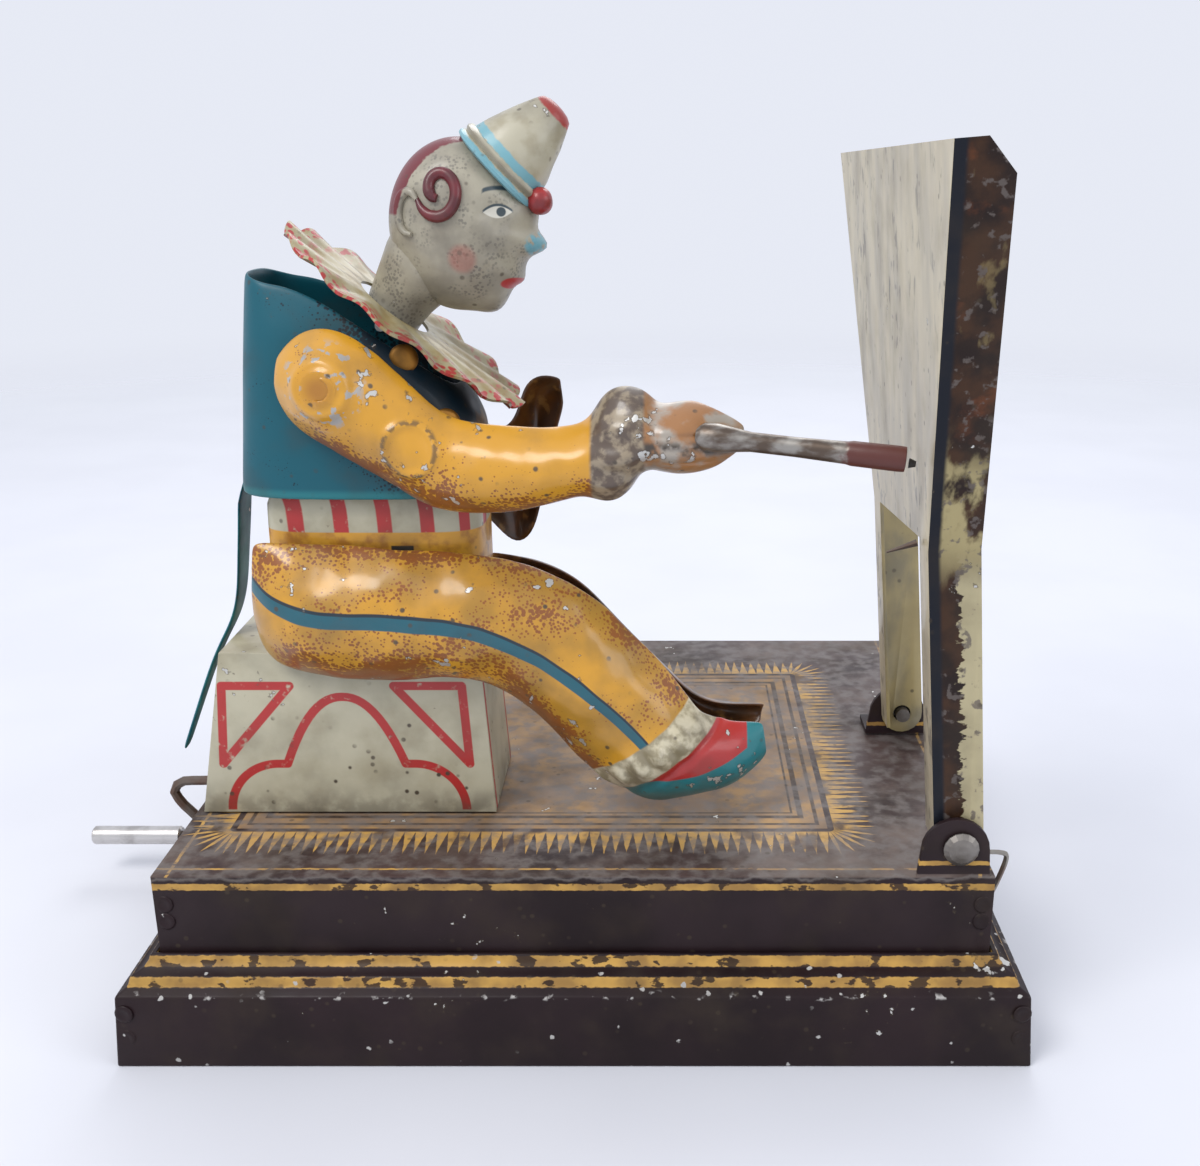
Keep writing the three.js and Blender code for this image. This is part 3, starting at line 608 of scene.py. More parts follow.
def rug_pattern(s, paint):
    """A dusty gold rug with dark inner lines, and gold spikes that point out from it."""
    middle = ((RUG["x0"] + RUG["x1"]) / 2, (RUG["y0"] + RUG["y1"]) / 2)
    out_x = (s.x - middle[0]).abs() - (RUG["x1"] - RUG["x0"]) / 2
    out_y = (s.y - middle[1]).abs() - (RUG["y1"] - RUG["y0"]) / 2
    nearest = out_x.most(out_y)
    corner = length(out_x.most(0.0), out_y.most(0.0))
    outside = nearest.most(corner)
    side = out_x.above(0.0, 0.01) * out_y.above(0.0, 0.01)
    straight = out_y.above(0.0, 0.01)
    along = s.x * straight + s.y * (1 - straight)
    fan = out_x.most(0.01).math("ARCTAN2", out_y.most(0.01)) * 5.2
    place = (along * (1 - side) + fan * side) * (1 / SPIKE["pitch"])
    tooth = (place.math("FRACT") - 0.5).abs() * 2
    share = (outside - SPIKE["start"]) * (1 / SPIKE["reach"])
    ragged = (s.noise(1.2, 3, seed=21) - 0.5) * 0.35
    spikes = (share + tooth * 0.9 + ragged).below(0.9, 0.08) * outside.above(SPIKE["start"], 0.05)
    worn = s.patches(5, 5, 22, 0.6, 0.06)
    paint = s.mix(paint, GOLD, spikes * (1 - worn * 0.85))
    gold = s.mottle((0.38, 0.22, 0.08), (0.2, 0.13, 0.08), 7, 5, 23, 0.5, 0.16)
    paint = s.mix(paint, gold, nearest.below(0, 0.06))
    for inset, half in RUG_LINES:
        paint = s.mix(paint, LACQUER, (nearest - inset).within(half, 0.08) * 0.85)
    return paint


def base_material():
    """Dark lacquer with gold lines on the walls and a printed rug on the top."""
    s = Surface("base_print")
    cloud = s.noise(12, 4, seed=31)
    wall = s.mix(LACQUER, (0.022, 0.012, 0.014), cloud.above(0.5, 0.2))
    wall = gold_line(s, wall, s.z, PLATE_TOP - 1.5, 0.48)
    wall = gold_line(s, wall, s.z, BASE_HIGH.z - 6.2, 0.3, 0.62)
    top = s.mix((0.022, 0.012, 0.012), (0.06, 0.036, 0.033), cloud.above(0.5, 0.2))
    top = rug_pattern(s, top)
    for field, place in ((s.y, BASE_LOW.y + 2.0), (s.x, BASE_LOW.x + 2.0), (s.x, BASE_HIGH.x - 2.0)):
        top = gold_line(s, top, field, place, 0.22, 0.6)
    dust = s.noise(16, 5, seed=32) + s.noise(2, 4, seed=33) * 0.4
    top = s.mix(top, DUST, dust.above(0.74, 0.22) * 0.4)
    paint = s.mix(wall, top, s.z.above(PLATE_TOP - 0.12, 0.05) * s.z.below(PLATE_TOP + 0.4, 0.1))
    rim = edge_wear(s, s.z, PLATE_TOP - 0.25, 0.9, 0.2)
    paint = s.mix(paint, (0.16, 0.14, 0.13), rim * 0.8)
    return tin(s, paint, chips=1.14, grime=0.3, gloss=0.36, specks=0.5, grain=0.18, coat=0.0, shine=0.22)


def plinth_material():
    """Dark lacquer with two gold lines and a row of chips along the step."""
    s = Surface("plinth_lacquer")
    paint = s.mottle(LACQUER, (0.02, 0.01, 0.012), 14, 4, 41, 0.5, 0.2)
    for place, half, loss in PLINTH_LINES:
        paint = gold_line(s, paint, s.z, place, half, loss)
    rim = edge_wear(s, s.z, PLINTH_RIM, 0.7, 0.25)
    paint = s.mix(paint, (0.42, 0.4, 0.38), rim * s.patches(2.2, 4, 42, 0.6, 0.03))
    uneven = s.cells(3.1, seed=43) + (s.noise(0.7, 4, seed=45) - 0.5) * 0.32
    small = uneven.below(0.09, 0.02) * s.patches(9, 2, 44, 0.46, 0.04)
    paint = s.mix(paint, (0.42, 0.41, 0.39), small)
    return tin(s, paint, chips=1.14, grime=0.3, gloss=0.3, specks=0.4, grain=0.15, coat=0.0, shine=0.2)


def crimp_tabs(material):
    """Half-round ends of the corner seams, bent over on the near and the far walls."""
    for index, (node, z) in enumerate(CRIMPS):
        wall = BASE_HIGH if node == "base_box" else box_mm(node)[1] - Vector((0.35, 0.35, 0))
        for side_x in (-1, 1):
            for side_y in (-1, 1):
                name = f"crimp_{index}_{'far' if side_y > 0 else 'near'}_{'right' if side_x > 0 else 'left'}"
                origin = (side_x * (wall.x - 1.3), side_y * (wall.y - 0.05), z)
                tab = lathe(name, CRIMP_PROFILE, origin, (0.12 * side_x, side_y, 0), 20, 80)
                belongs(tab, node, material)


def make_base():
    base = base_material()
    plinth = plinth_material()
    shell = folded_copy("base_box", "base_shell", 0.45)
    stands_for(shell, "base_box", base)
    frame_piece = folded_copy("plinth_frame", "plinth_shell", 0.3)
    stands_for(frame_piece, "plinth_frame", plinth)
    ear = folded_copy("far_ear", "far_ear_plate", 0.2)
    stands_for(ear, "far_ear", base)
    crimp_tabs(plinth)


# ---- Seat and waist ----
SEAT_FRONT_TAPER = 1.5
SEAT_LINE_HALF = 0.62
SEAT_CORNER = [(16.6, 19), (7.2, 19), (17.3, 7.4), (16.6, 19)]
STRIPE_PITCH = 5.8
STRIPE_DEPTH_SHIFT = 0.9
BAND_SHARE = 0.79
BAND_SLOT_X = -23.2
ARCH = [(8.3 * i / 12, 17.4 - 10 * (i / 12) ** 2.2) for i in range(13)] + [(9.8, 7.4)]


def seat_material():
    """Cream print with red outlined triangles and an arch between them on the long sides."""
    s = Surface("seat_print")
    low, high = box_mm("seat_box")
    u = (s.x - (low.x + high.x) / 2).abs()
    v = s.z - low.z
    lines = s.path(u, v, SEAT_CORNER).below(SEAT_LINE_HALF, 0.08)
    foot = (length(u - 9.6, v - 0.4) - 7).within(SEAT_LINE_HALF, 0.08)
    foot = foot * u.above(9.6, 0.1) * v.above(0.4, 0.1)
    arch = s.path(u, v, ARCH).below(SEAT_LINE_HALF, 0.08)
    red = lines.most(foot).most(arch)
    side = (s.x + v * (SEAT_FRONT_TAPER / (high.z - low.z))).above(high.x - 0.3, 0.1)
    ends = (s.y - low.y - 1.3).within(0.5, 0.06).most((s.y - high.y + 1.3).within(0.5, 0.06))
    mask = red * (1 - side) + ends * side
    uneven = s.patches(1.1, 3, 51, 0.3, 0.1)
    cream = s.mottle(CREAM, CREAM_DARK, 6, 5, 52, 0.58, 0.2, 0.6)
    paint = s.mix(cream, RED, mask * uneven)
    # Darker in patches towards the seat's foot, where it stands on the base top.
    darker_foot_patches = v.below(2.5, 2.5) * s.patches(3, 4, 53, 0.45, 0.12)
    paint = s.mix(paint, GRIME, darker_foot_patches * 0.5)
    return tin(s, paint, chips=1.17, grime=0.3, gloss=0.34, specks=1.0)


def waist_material():
    """A cream shirt with red stripes over a slotted yellow waistband, the slot painted dark as painted shade where
    the hole's inside would show.
    """
    s = Surface("shirt_print")
    low, high = box_mm("waist")
    place = (s.x - low.x - 2 + (s.y - low.y) * STRIPE_DEPTH_SHIFT) * (1 / STRIPE_PITCH)
    stripe = (place.math("FRACT") - 0.62).within(0.17, 0.02)
    band_top = low.z + (high.z - low.z) * BAND_SHARE
    cream = s.mottle(CREAM, CREAM_DARK, 5, 4, 61, 0.55, 0.15, 0.5)
    shirt = s.mix(cream, RED, stripe * s.patches(0.9, 2, 62, 0.28, 0.1))
    band = s.mottle(YELLOW, ORANGE, 2.5, 4, 63, 0.55, 0.12, 0.7)
    paint = s.mix(shirt, band, s.z.below(band_top, 0.1))
    # The slot is a near-black patch, not a hole: painted shade for the dark inside of the slot.
    slot = (s.x - BAND_SLOT_X).within(1.5, 0.1) * (s.z - band_top + 2.2).within(0.4, 0.1)
    slot = slot * (s.y - low.y).below(3, 0.1)
    paint = s.mix(paint, (0.01, 0.008, 0.006), slot)
    return tin(s, paint, chips=1.2, grime=0.45, gloss=0.36)


def make_seat():
    stands_for(dress(folded_copy("seat_box", "box_seat", 0.4), seat_material()), "seat_box")
    waist = pressed_copy("waist", "striped_waist", 2)
    reach_up(waist, box_mm("waist")[1].z - 1.1, 0.8, Vector((0, 0, 1.6)), middle_mm("waist"))
    stands_for(waist, "waist", waist_material())


# ---- Printed limbs ----
CUFF_X, CUFF_Z = 11.2, 37
CUFF_COS, CUFF_SIN = 0.62, 0.78
ELBOW_X, ELBOW_Z = -19.8, 79.2
SLEEVE_END, WRIST = 2.8, 9.4


def down_leg(x, z):
    """How far a place lies beyond the middle of the trouser cuff, towards the shoe."""
    return (x - CUFF_X) * CUFF_COS - (z - CUFF_Z) * CUFF_SIN


def stipple(s, under, over, share, size=0.5):
    """Printed shading: fine dots that grow as the share rises."""
    return s.mix(under, over, (share - s.cells(size, seed=71) * 0.9).above(0.0, 0.08))


def leg_material():
    """Yellow trousers with orange shading and a teal side stripe, a cream cuff and a red and teal shoe."""
    s = Surface("leg_print")
    shadow = s.curve(s.x, [(-43, 50), (-26, 50), (-9, 47), (1, 38), (9, 30), (26, 33)])
    low_side = (s.z - shadow).below(0.0, 5.0)
    upper = s.curve(s.x, [(-43, 62), (-28, 62), (-9, 60.5), (2, 55), (12, 45), (26, 36)])
    high_side = (s.z - upper).above(0.5, 2.5)
    shade_share = low_side * 0.8 + high_side * 0.35 + (s.noise(5, 4, (1.8, 1, 1), seed=72) - 0.5) * 2 + 0.1
    ochre = s.mottle(YELLOW, (0.3, 0.16, 0.02), 9, 4, 70, 0.48, 0.14, 0.75)
    trousers = stipple(s, ochre, ORANGE, shade_share)
    stripe_line = s.curve(s.x, [(-43, 60), (-36, 56.8), (-25, 56), (-16, 55.2), (-9.7, 53.4), (-2, 49),
                                (4.6, 43.3), (12, 35.5)])
    stripe = s.z - stripe_line
    trousers = s.mix(trousers, TEAL, stripe.within(1.05, 0.1))
    trousers = s.mix(trousers, TEAL_DARK, (stripe - 0.95).within(0.22, 0.08))
    down = down_leg(s.x, s.z)
    cuff = s.mottle((0.6, 0.54, 0.38), CREAM_DARK, 2, 4, 73, 0.48, 0.12)
    sole_line = s.curve(s.x, [(5, 31), (9, 30.6), (15, 31.2), (22, 33.6), (26, 37)])
    sole = (s.z - sole_line).below(2.4, 0.12).most(s.x.above(23.2, 0.12))
    shoe = s.mix(RED, (0.01, 0.17, 0.19), sole)
    paint = s.mix(trousers, cuff, down.above(-2.6, 0.15))
    paint = s.mix(paint, shoe, down.above(2.2, 0.15))
    return tin(s, paint, chips=1.1, grime=0.35, gloss=0.24, specks=0.9, coat=0.4)


def arm_material():
    """A yellow sleeve with a worn grey-brown cuff and an orange-brown hand."""
    s = Surface("arm_print")
    under = s.curve(s.x, [(-37, 83), (-24, 77.5), (-10, 73.5), (3, 75.5), (22, 79)])
    share = (s.z - under).below(0.0, 4.0) * 0.8 + (s.noise(5, 4, seed=74) - 0.5) * 1.4
    sleeve = stipple(s, YELLOW, ORANGE, share)
    cuff = s.mottle((0.1, 0.07, 0.05), (0.3, 0.24, 0.16), 1.6, 4, 75, 0.52, 0.1)
    hand = s.mottle((0.33, 0.15, 0.05), (0.34, 0.3, 0.25), 3.5, 4, 76, 0.52, 0.1)
    hand = s.mix(hand, GRIME, (s.z - 80.2).within(0.9, 0.5) * s.patches(2, 3, 77, 0.5, 0.1))
    paint = s.mix(sleeve, cuff, s.x.above(SLEEVE_END, 0.3))
    paint = s.mix(paint, hand, s.x.above(WRIST, 0.3))
    near_joint = length(s.x - JOINT["arm_lift"].x, s.z - JOINT["arm_lift"].z)
    paint = s.mix(paint, ORANGE, near_joint.below(1.6, 1.2) * 0.6)
    bare_ring = near_joint.within(5.2, 0.8) * near_joint.above(2.0, 0.3)
    bare_ring = bare_ring * s.patches(1.6, 5, 78, 0.58, 0.02)
    paint = s.mix(paint, (0.36, 0.35, 0.33), bare_ring)
    ring = (length(s.x - ELBOW_X, s.z - ELBOW_Z) - 3.3).within(0.3, 0.2)
    ring = ring * s.patches(1.2, 4, 79, 0.48, 0.04)
    paint = s.mix(paint, GRIME, ring * 0.7)
    return tin(s, paint, chips=1.07, grime=0.35, gloss=0.24, specks=0.9, coat=0.4)


def inside_material():
    """The clear brown lacquer inside a pressed half."""
    s = Surface("inside_lacquer")
    paint = s.mottle(INSIDE, BROWN, 4, 4, 81, 0.48, 0.15)
    paint = s.mottle(paint, (0.32, 0.16, 0.04), 2.5, 5, 82, 0.62, 0.06, 0.6)
    return tin(s, paint, chips=1.25, grime=0.5, gloss=0.22, coat=0.5)


def leg_relief(x, z):
    """Dents, a ruffled cuff and a crease above the shoe."""
    rise = 0.5 * dent(x, z, 7, 1) + 0.25 * dent(x, z, 3, 2)
    rise -= 0.9 * bump_at(math.hypot(x + 30, z - 63), 0, 4.5)
    rise -= 0.7 * bump_at(math.hypot(x + 18, z - 62), 0, 3.5)
    down = down_leg(x, z)
    along = (x - CUFF_X) * CUFF_SIN + (z - CUFF_Z) * CUFF_COS
    ruffle = 0.6 + 0.4 * math.cos(along * 1.9)
    rise += 1.3 * ruffle * bump_at(down, -0.2, 1.9)
    rise -= 0.5 * bump_at(down, 2.9, 0.6)
    return rise


def arm_relief(x, z):
    """Dents, pressed rings at the shoulder and elbow, a ruffled cuff and three grooves in the hand."""
    shoulder = math.hypot(x - JOINT["arm_lift"].x, z - JOINT["arm_lift"].z)
    elbow = math.hypot(x - ELBOW_X, z - ELBOW_Z)
    rise = 0.4 * dent(x, z, 6, 3) + 0.2 * dent(x, z, 2.5, 4)
    rise += 0.45 * bump_at(shoulder, 3.4, 0.6) + 0.45 * bump_at(elbow, 3.2, 0.6)
    rise += 1.9 * bump_at(shoulder, 0, 4.2)
    rise += 0.9 * bump_at(x, 5.8, 2.6) * (0.65 + 0.35 * math.cos((z - 79) * 1.7))
    rise -= 0.5 * bump_at(x, 10.4, 0.8)
    for row in range(3):
        rise -= 0.35 * bump_at(z - 78.4 - 1.7 * row, 0, 0.3) * bump_at(x, 15.5, 3.5)
    return rise


def make_limbs():
    inside = inside_material()
    leg = relief(pressed_copy("near_leg", "trouser_leg", 3), leg_relief)
    stands_for(back_material(dress(leg, leg_material(), inside), 1), "near_leg")
    sleeve = arm_material()
    arm = relief(pressed_copy("near_arm", "sleeve_arm", 3), arm_relief)
    stands_for(back_material(dress(arm, sleeve, inside), 1), "near_arm")
    dress(frame["nodes"]["shoulder_shaft"], sleeve)
    for node, name in (("far_leg", "leg_half_far"), ("far_arm", "arm_half_far")):
        stands_for(pressed_copy(node, name, 2), node, inside)


# ---- Jacket, tail and ruff ----
def jacket_material():
    """Teal, stippled darker towards the front, with a lighter hem and a worn front edge."""
    s = Surface("jacket_print")
    share = (s.x + s.z * 0.4).above(9, 9) * 0.95 + (s.noise(6, 4, seed=91) - 0.5) * 1.3
    paint = stipple(s, TEAL, TEAL_DARK, share)
    hem = (s.z - 72.2).below(0, 0.5)
    paint = s.mix(paint, (0.02, 0.19, 0.21), hem * 0.8)
    paint = s.mix(paint, (0.2, 0.1, 0.02), edge_wear(s, s.x, -12.6, 1.2, 0.35) * s.z.below(88, 3) * 0.9)
    return tin(s, paint, chips=1.16, grime=0.4, gloss=0.34, specks=0.6, coat=0.1, shine=0.3)


def tail_material():
    """Teal tin, mottled."""
    s = Surface("tail_print")
    paint = s.mottle((0.01, 0.15, 0.17), TEAL, 4, 4, 92, 0.5, 0.15)
    return tin(s, paint, chips=1.15, grime=0.3, gloss=0.35, coat=0.0, shine=0.3)


RUFF_TILT = math.radians(38.3)
RUFF_SCALLOPS = 14
RUFF_NARROW = 0.84
RUFF_SCALLOP = 1.045
RUFF_HOLE = 5.3


def ruff_material(radius):
    """Cream, with red dashes along the scalloped edge."""
    s = Surface("ruff_print")
    centre = middle_mm("ruff")
    flat_x = (s.x - centre.x) * math.cos(RUFF_TILT) - (s.z - centre.z) * math.sin(RUFF_TILT)
    flat_y = s.y - centre.y
    share = length(flat_x * (1 / radius[0]), flat_y * (1 / radius[1]))
    angle = flat_y.math("ARCTAN2", flat_x) * (RUFF_SCALLOPS / (2 * math.pi))
    lobe = (angle.math("FRACT") - 0.5).abs() * 2
    edge = (share + lobe * 0.05).above(0.93, 0.02)
    dashes = s.cells(0.9, seed=93).below(0.5, 0.1)
    cream = s.mottle((0.38, 0.33, 0.19), (0.3, 0.22, 0.08), 3, 4, 94, 0.52, 0.12)
    paint = s.mix(cream, (0.42, 0.09, 0.08), (share - 0.8).within(0.035, 0.02) * dashes * 0.7)
    paint = s.mix(paint, RED, edge * dashes)
    return tin(s, paint, chips=1.13, grime=0.5, gloss=0.35)


def make_ruff():
    """A tilted disc from the neck hole out, waved and scalloped at its edge."""
    low, high = box_mm("ruff")
    centre = (low + high) / 2
    radius = ((high.x - low.x) / 2 / math.cos(RUFF_TILT) / RUFF_SCALLOP,
              (high.y - low.y) / 2 / RUFF_SCALLOP * RUFF_NARROW)
    turn = Matrix.Rotation(RUFF_TILT, 3, "Y")

    def on_ruff(t, a):
        scallop = 1 + 0.05 * t * abs(math.cos(RUFF_SCALLOPS * a / 2)) ** 0.7
        reach = (radius[0] * scallop * 0.99, radius[1] * scallop * 0.99)
        inner = Vector((-2 + RUFF_HOLE * math.cos(a), RUFF_HOLE * math.sin(a), 0))
        outer = Vector((reach[0] * math.cos(a), reach[1] * math.sin(a), 0))
        place = inner.lerp(outer, t)
        wave = 0.5 * t * math.cos(RUFF_SCALLOPS * a) + 0.5 * t * dent(place.x, place.y, 9, 5)
        place.z = wave - 0.2
        return centre + turn @ place

    ruff = grid("scalloped_ruff", turned(12, 196, on_ruff), turn @ Vector((0, 0, 1)))
    modify(ruff, "SOLIDIFY", thickness=0.4 * MM, offset=-1)
    shade(ruff, 60)
    stands_for(ruff, "ruff", ruff_material(radius))


BUTTONS = ((-21.6, 89.2), (-16.5, 81.0))
BUTTON_PROFILE = [(1.9, 0), (1.85, 0.35), (1.4, 0.62), (0.8, 0.7), (0.0, 0.72)]


def make_jacket():
    jacket = pressed_copy("jacket", "tin_jacket", 2)
    stands_for(jacket, "jacket", jacket_material())
    tail = pressed_copy("coat_tail", "coat_tail_strip", 2)
    reach_up(tail, box_mm("coat_tail")[1].z - 1.4, 1.2, Vector((1.3, 0, 3.2)))
    stands_for(tail, "coat_tail", tail_material())
    brass = metal("button_gold", (0.42, 0.2, 0.04), 0.35)
    for index, (x, z) in enumerate(BUTTONS):
        y = surface_y(jacket, x, z)
        button = lathe(f"jacket_button_{index}", BUTTON_PROFILE, (x, y + 0.1, z), (0.25, -1, 0.1), 28, 80)
        belongs(button, "jacket", brass)


# ---- Head and hat ----
HEAD = Vector((-14.6, -17.5, 105.5))
HEAD_LONG, HEAD_HIGH = 9.3, 10.9
HEAD_FEATURES = ((10, 0.9, 14), (-14, 2.0, 8), (-42, 0.7, 6), (-68, 1.2, 12))
HEAD_DEPTH = 7.8
EYE, IRIS, CHEEK, MOUTH, NOSE = (5.5, 1.8), (5.9, 1.75), (1.0, -3.9), (6.9, -7.3), (10.2, -2.5)
NECK = ((-24.8, 93.0), (-22.8, 96.4), (-20.0, 100.2), (-16.6, 104.8))
HAT_AXIS = Vector((0.73, 0, 0.684)).normalized()
BRIM = Vector((-8.9, -17.5, 112.9))
HAT_PROFILE = [(5.4, -1.3), (6.3, -1.35), (6.75, -1.1), (6.8, -0.7), (6.5, -0.35), (6.2, -0.2), (6.45, 0.1),
               (6.5, 0.4), (6.2, 0.75), (5.7, 0.95), (5.3, 2.6), (4.6, 4.6), (3.8, 6.6), (2.9, 8.7), (2.6, 9.3),
               (2.35, 9.7), (1.6, 10.05), (0.7, 10.2), (0.0, 10.22)]
HAT_BANDS = ((-0.95, 0.6), (1.5, 0.55))
HAT_TIP = 9.0
POMPOM_SHIFT = Vector((-1.4, 0, 1.1))


def head_edge(bearing, share):
    """The outline of the head at a bearing in degrees, its features fading as share leaves 1."""
    a = math.radians(bearing)
    reach = 1 / math.hypot(math.cos(a) / HEAD_LONG, math.sin(a) / HEAD_HIGH)
    for centre, rise, width in HEAD_FEATURES:
        away = (bearing - centre + 180) % 360 - 180
        reach += rise * math.exp(-((away / width) ** 2)) * share ** 4
    return reach


def head_half(name, side):
    """One pressed half of the head, its rim in the middle plane, cut off under the hat."""

    def on_head(t, a):
        lift = math.sin(math.pi / 2 * t)
        share = math.cos(math.pi / 2 * t)
        reach = head_edge(math.degrees(a), share) * share
        x, z = reach * math.cos(a), reach * math.sin(a)
        cheek = 0.5 * math.exp(-((x - 3) ** 2 + (z + 3.5) ** 2) / 9)
        socket = 0.7 * math.exp(-((x - 5) ** 2 + (z - 1.5) ** 2) / 3)
        depth = HEAD_DEPTH * lift ** 0.9 + (cheek - socket) * min(1, 3 * lift)
        place = HEAD + Vector((x, side * max(depth, 0.02), z))
        over = (place - BRIM).dot(HAT_AXIS)
        if over > -0.1:
            place -= HAT_AXIS * (over + 0.1)
        return place

    return shade(grid(name, turned(26, 120, on_head), (0, side, 0)), 70)


def face_material():
    """A plain painted doll's face: hair at the back, brow, lidded eye, cheek and lips."""
    s = Surface("face_print")
    u, v = s.x - HEAD.x, s.z - HEAD.z
    shadow = s.noise(4, 5, seed=101)
    skin = s.mix((0.36, 0.33, 0.25), (0.22, 0.2, 0.155), shadow.above(0.5, 0.16) * 0.7)
    dots = s.cells(0.45, seed=104).below(0.42, 0.1)
    smudge = s.patches(3.2, 4, 105, 0.53, 0.08)
    skin = s.mix(skin, (0.06, 0.055, 0.05), dots * smudge * 0.5)
    rim = length(u * (1 / HEAD_LONG), v * (1 / HEAD_HIGH))
    ragged = (s.noise(0.9, 3, seed=102) - 0.5) * 0.06
    taper = (u.most(-6) + 6) * 0.024
    hair = (rim + ragged - taper).above(0.78, 0.012) * u.below(2.5, 0.2) * v.above(1.4, 0.2)
    paint = s.mix(skin, RED_DARK, hair)
    cheek = length(u - CHEEK[0], v - CHEEK[1]).below(1.7, 0.5)
    paint = s.mix(paint, (0.4, 0.1, 0.07), cheek * 0.5)
    brow = (s.curve(u, [(3.6, 3.9), (4.8, 4.6), (6.2, 4.6), (7.6, 4.0)]) - v).within(0.26, 0.12)
    brow = brow * (u - 5.6).within(1.9, 0.2)
    shape = (u - EYE[0]) * (u - EYE[0]) * 0.24
    white = ((v - EYE[1]).abs() + shape).below(0.8, 0.08)
    lid = (v - EYE[1] - 0.8 + shape).within(0.16, 0.08) * (u - EYE[0]).within(1.8, 0.15)
    iris = length(u - IRIS[0], v - IRIS[1]).below(0.58, 0.08) * white
    lips = length((u - MOUTH[0]) * 0.8, (v - MOUTH[1]) * 1.6).below(1.25, 0.15)
    nose = length(u - NOSE[0], v - NOSE[1]).below(1.6, 0.3)
    paint = s.mix(paint, (0.6, 0.58, 0.5), white)
    paint = s.mix(paint, (0.03, 0.05, 0.06), iris.most(brow).most(lid))
    paint = s.mix(paint, RED, lips)
    paint = s.mix(paint, PALE_BLUE, nose * s.patches(1.2, 3, 103, 0.46, 0.06) * 0.8)
    seam = (s.y - HEAD.y).within(0.22, 0.1)
    paint = s.mix(paint, GRIME, seam * 0.8)
    return tin(s, paint, chips=1.15, grime=0.5, gloss=0.36)


def hat_material():
    """A cream cone with two pale blue bands near the brim and a red tip."""
    s = Surface("hat_print")
    along = (s.x - BRIM.x) * HAT_AXIS.x + (s.z - BRIM.z) * HAT_AXIS.z
    cream = s.mottle((0.42, 0.39, 0.29), CREAM_DARK, 3, 5, 111, 0.54, 0.13, 0.6)
    ragged = along + (s.noise(0.8, 3, seed=112) - 0.5) * 0.5
    low_band, high_band = ((ragged - place).within(half, 0.1) for place, half in HAT_BANDS)
    bands = low_band.most(high_band)
    paint = s.mix(cream, PALE_BLUE, bands * 0.8)
    paint = s.mix(paint, GRIME, (along - 0.25).within(0.35, 0.2) * 0.45)
    paint = s.mix(paint, RED, ragged.above(HAT_TIP, 0.15))
    return tin(s, paint, chips=1.13, grime=0.4, gloss=0.32)


def make_head():
    face = face_material()
    for node, name, side in (("head_near", "face_near", -1), ("head_far", "face_far", 1)):
        half = head_half(name, side)
        stands_for(half, node, face)
        points = []
        for a in (-0.5, 0.2, 0.9, 1.6, 2.3, 3.0, 3.7):
            x, z = HEAD.x - 5.6 - 1.5 * math.sin(a - 0.4), HEAD.z + 1.6 + 2.6 * math.cos(a - 0.4)
            points.append((x, surface_y(half, x, z, side) + side * 0.35, z))
        ear = tube(f"{name}_ear", points, 0.6, 4, [0.5, 0.9, 1.1, 1.1, 1.0, 0.8, 0.5])
        belongs(ear, node, face)
        if side < 0:
            make_curl(half)
    neck = tube("neck", [(x, HEAD.y, z) for x, z in NECK], 4.0, 10, [0.9, 1.06, 1.36, 1.56])
    belongs(neck, "head_near", face)
    hat = lathe("cone_hat", HAT_PROFILE, BRIM, HAT_AXIS, 64, 35)
    dent_hat(hat)
    stands_for(hat, "hat", hat_material())
    make_pompom()


def make_pompom():
    """A slightly uneven ball."""
    low, high = box_mm("pompom")
    centre = (low + high) / 2 + POMPOM_SHIFT
    radius = (high.z - low.z) / 2

    def on_ball(t, a):
        lat = math.pi * t
        reach = radius * (1 + 0.06 * noise.noise(Vector((math.cos(a) * 2, math.sin(a) * 2, lat))))
        return centre + Vector((math.sin(lat) * math.cos(a), math.sin(lat) * math.sin(a), math.cos(lat))) * reach

    ball = shade(grid("red_pompom", turned(18, 28, on_ball)))
    paint = printed("pompom_paint", (0.36, 0.02, 0.02), (0.1, 0.01, 0.012), 1.16)
    stands_for(ball, "pompom", paint)


def make_curl(half):
    """A raised curl of hair before the near ear."""
    points = []
    for i in range(15):
        a = math.radians(195 + 30 * i)
        reach = 3.0 - 0.155 * i
        x, z = HEAD.x - 1.6 + reach * math.cos(a), HEAD.z + 4.4 + 1.2 * reach * math.sin(a)
        points.append((x, surface_y(half, x, z) - 0.2, z))
    curl = tube("hair_curl", points, 0.72, 4, [0.4, 0.8] + [1.05] * 11 + [0.9, 0.7])
    belongs(dress(curl, printed("hair_print", RED_DARK, (0.05, 0.006, 0.01), 1.2)), "head_near")


def dent_hat(hat):
    """Pushes the cone in and out a little, except near its axis."""
    for vertex in hat.data.vertices:
        place = vertex.co / MM
        axis_place = BRIM + HAT_AXIS * (place - BRIM).dot(HAT_AXIS)
        out = place - axis_place
        if out.length > 0.3:
            vertex.co += out.normalized() * (0.22 * dent(place.x, place.z + place.y, 3.5, 6)) * MM
    hat.data.update()


def printed(name, paint, shade_colour, chips):
    """One colour of printed tin, mottled with a darker one."""
    s = Surface(name)
    mottled = s.mottle(paint, shade_colour, 2.5, 4, 121, 0.5, 0.15, 0.7)
    return tin(s, mottled, chips=chips, grime=0.4, gloss=0.35)


# ---- Pencil ----
PENCIL_START = Vector((21.9, -39.4, 81.2))
PENCIL_END = Vector((40.4, -42.6, 79.7))
PAINTED_FROM = 33


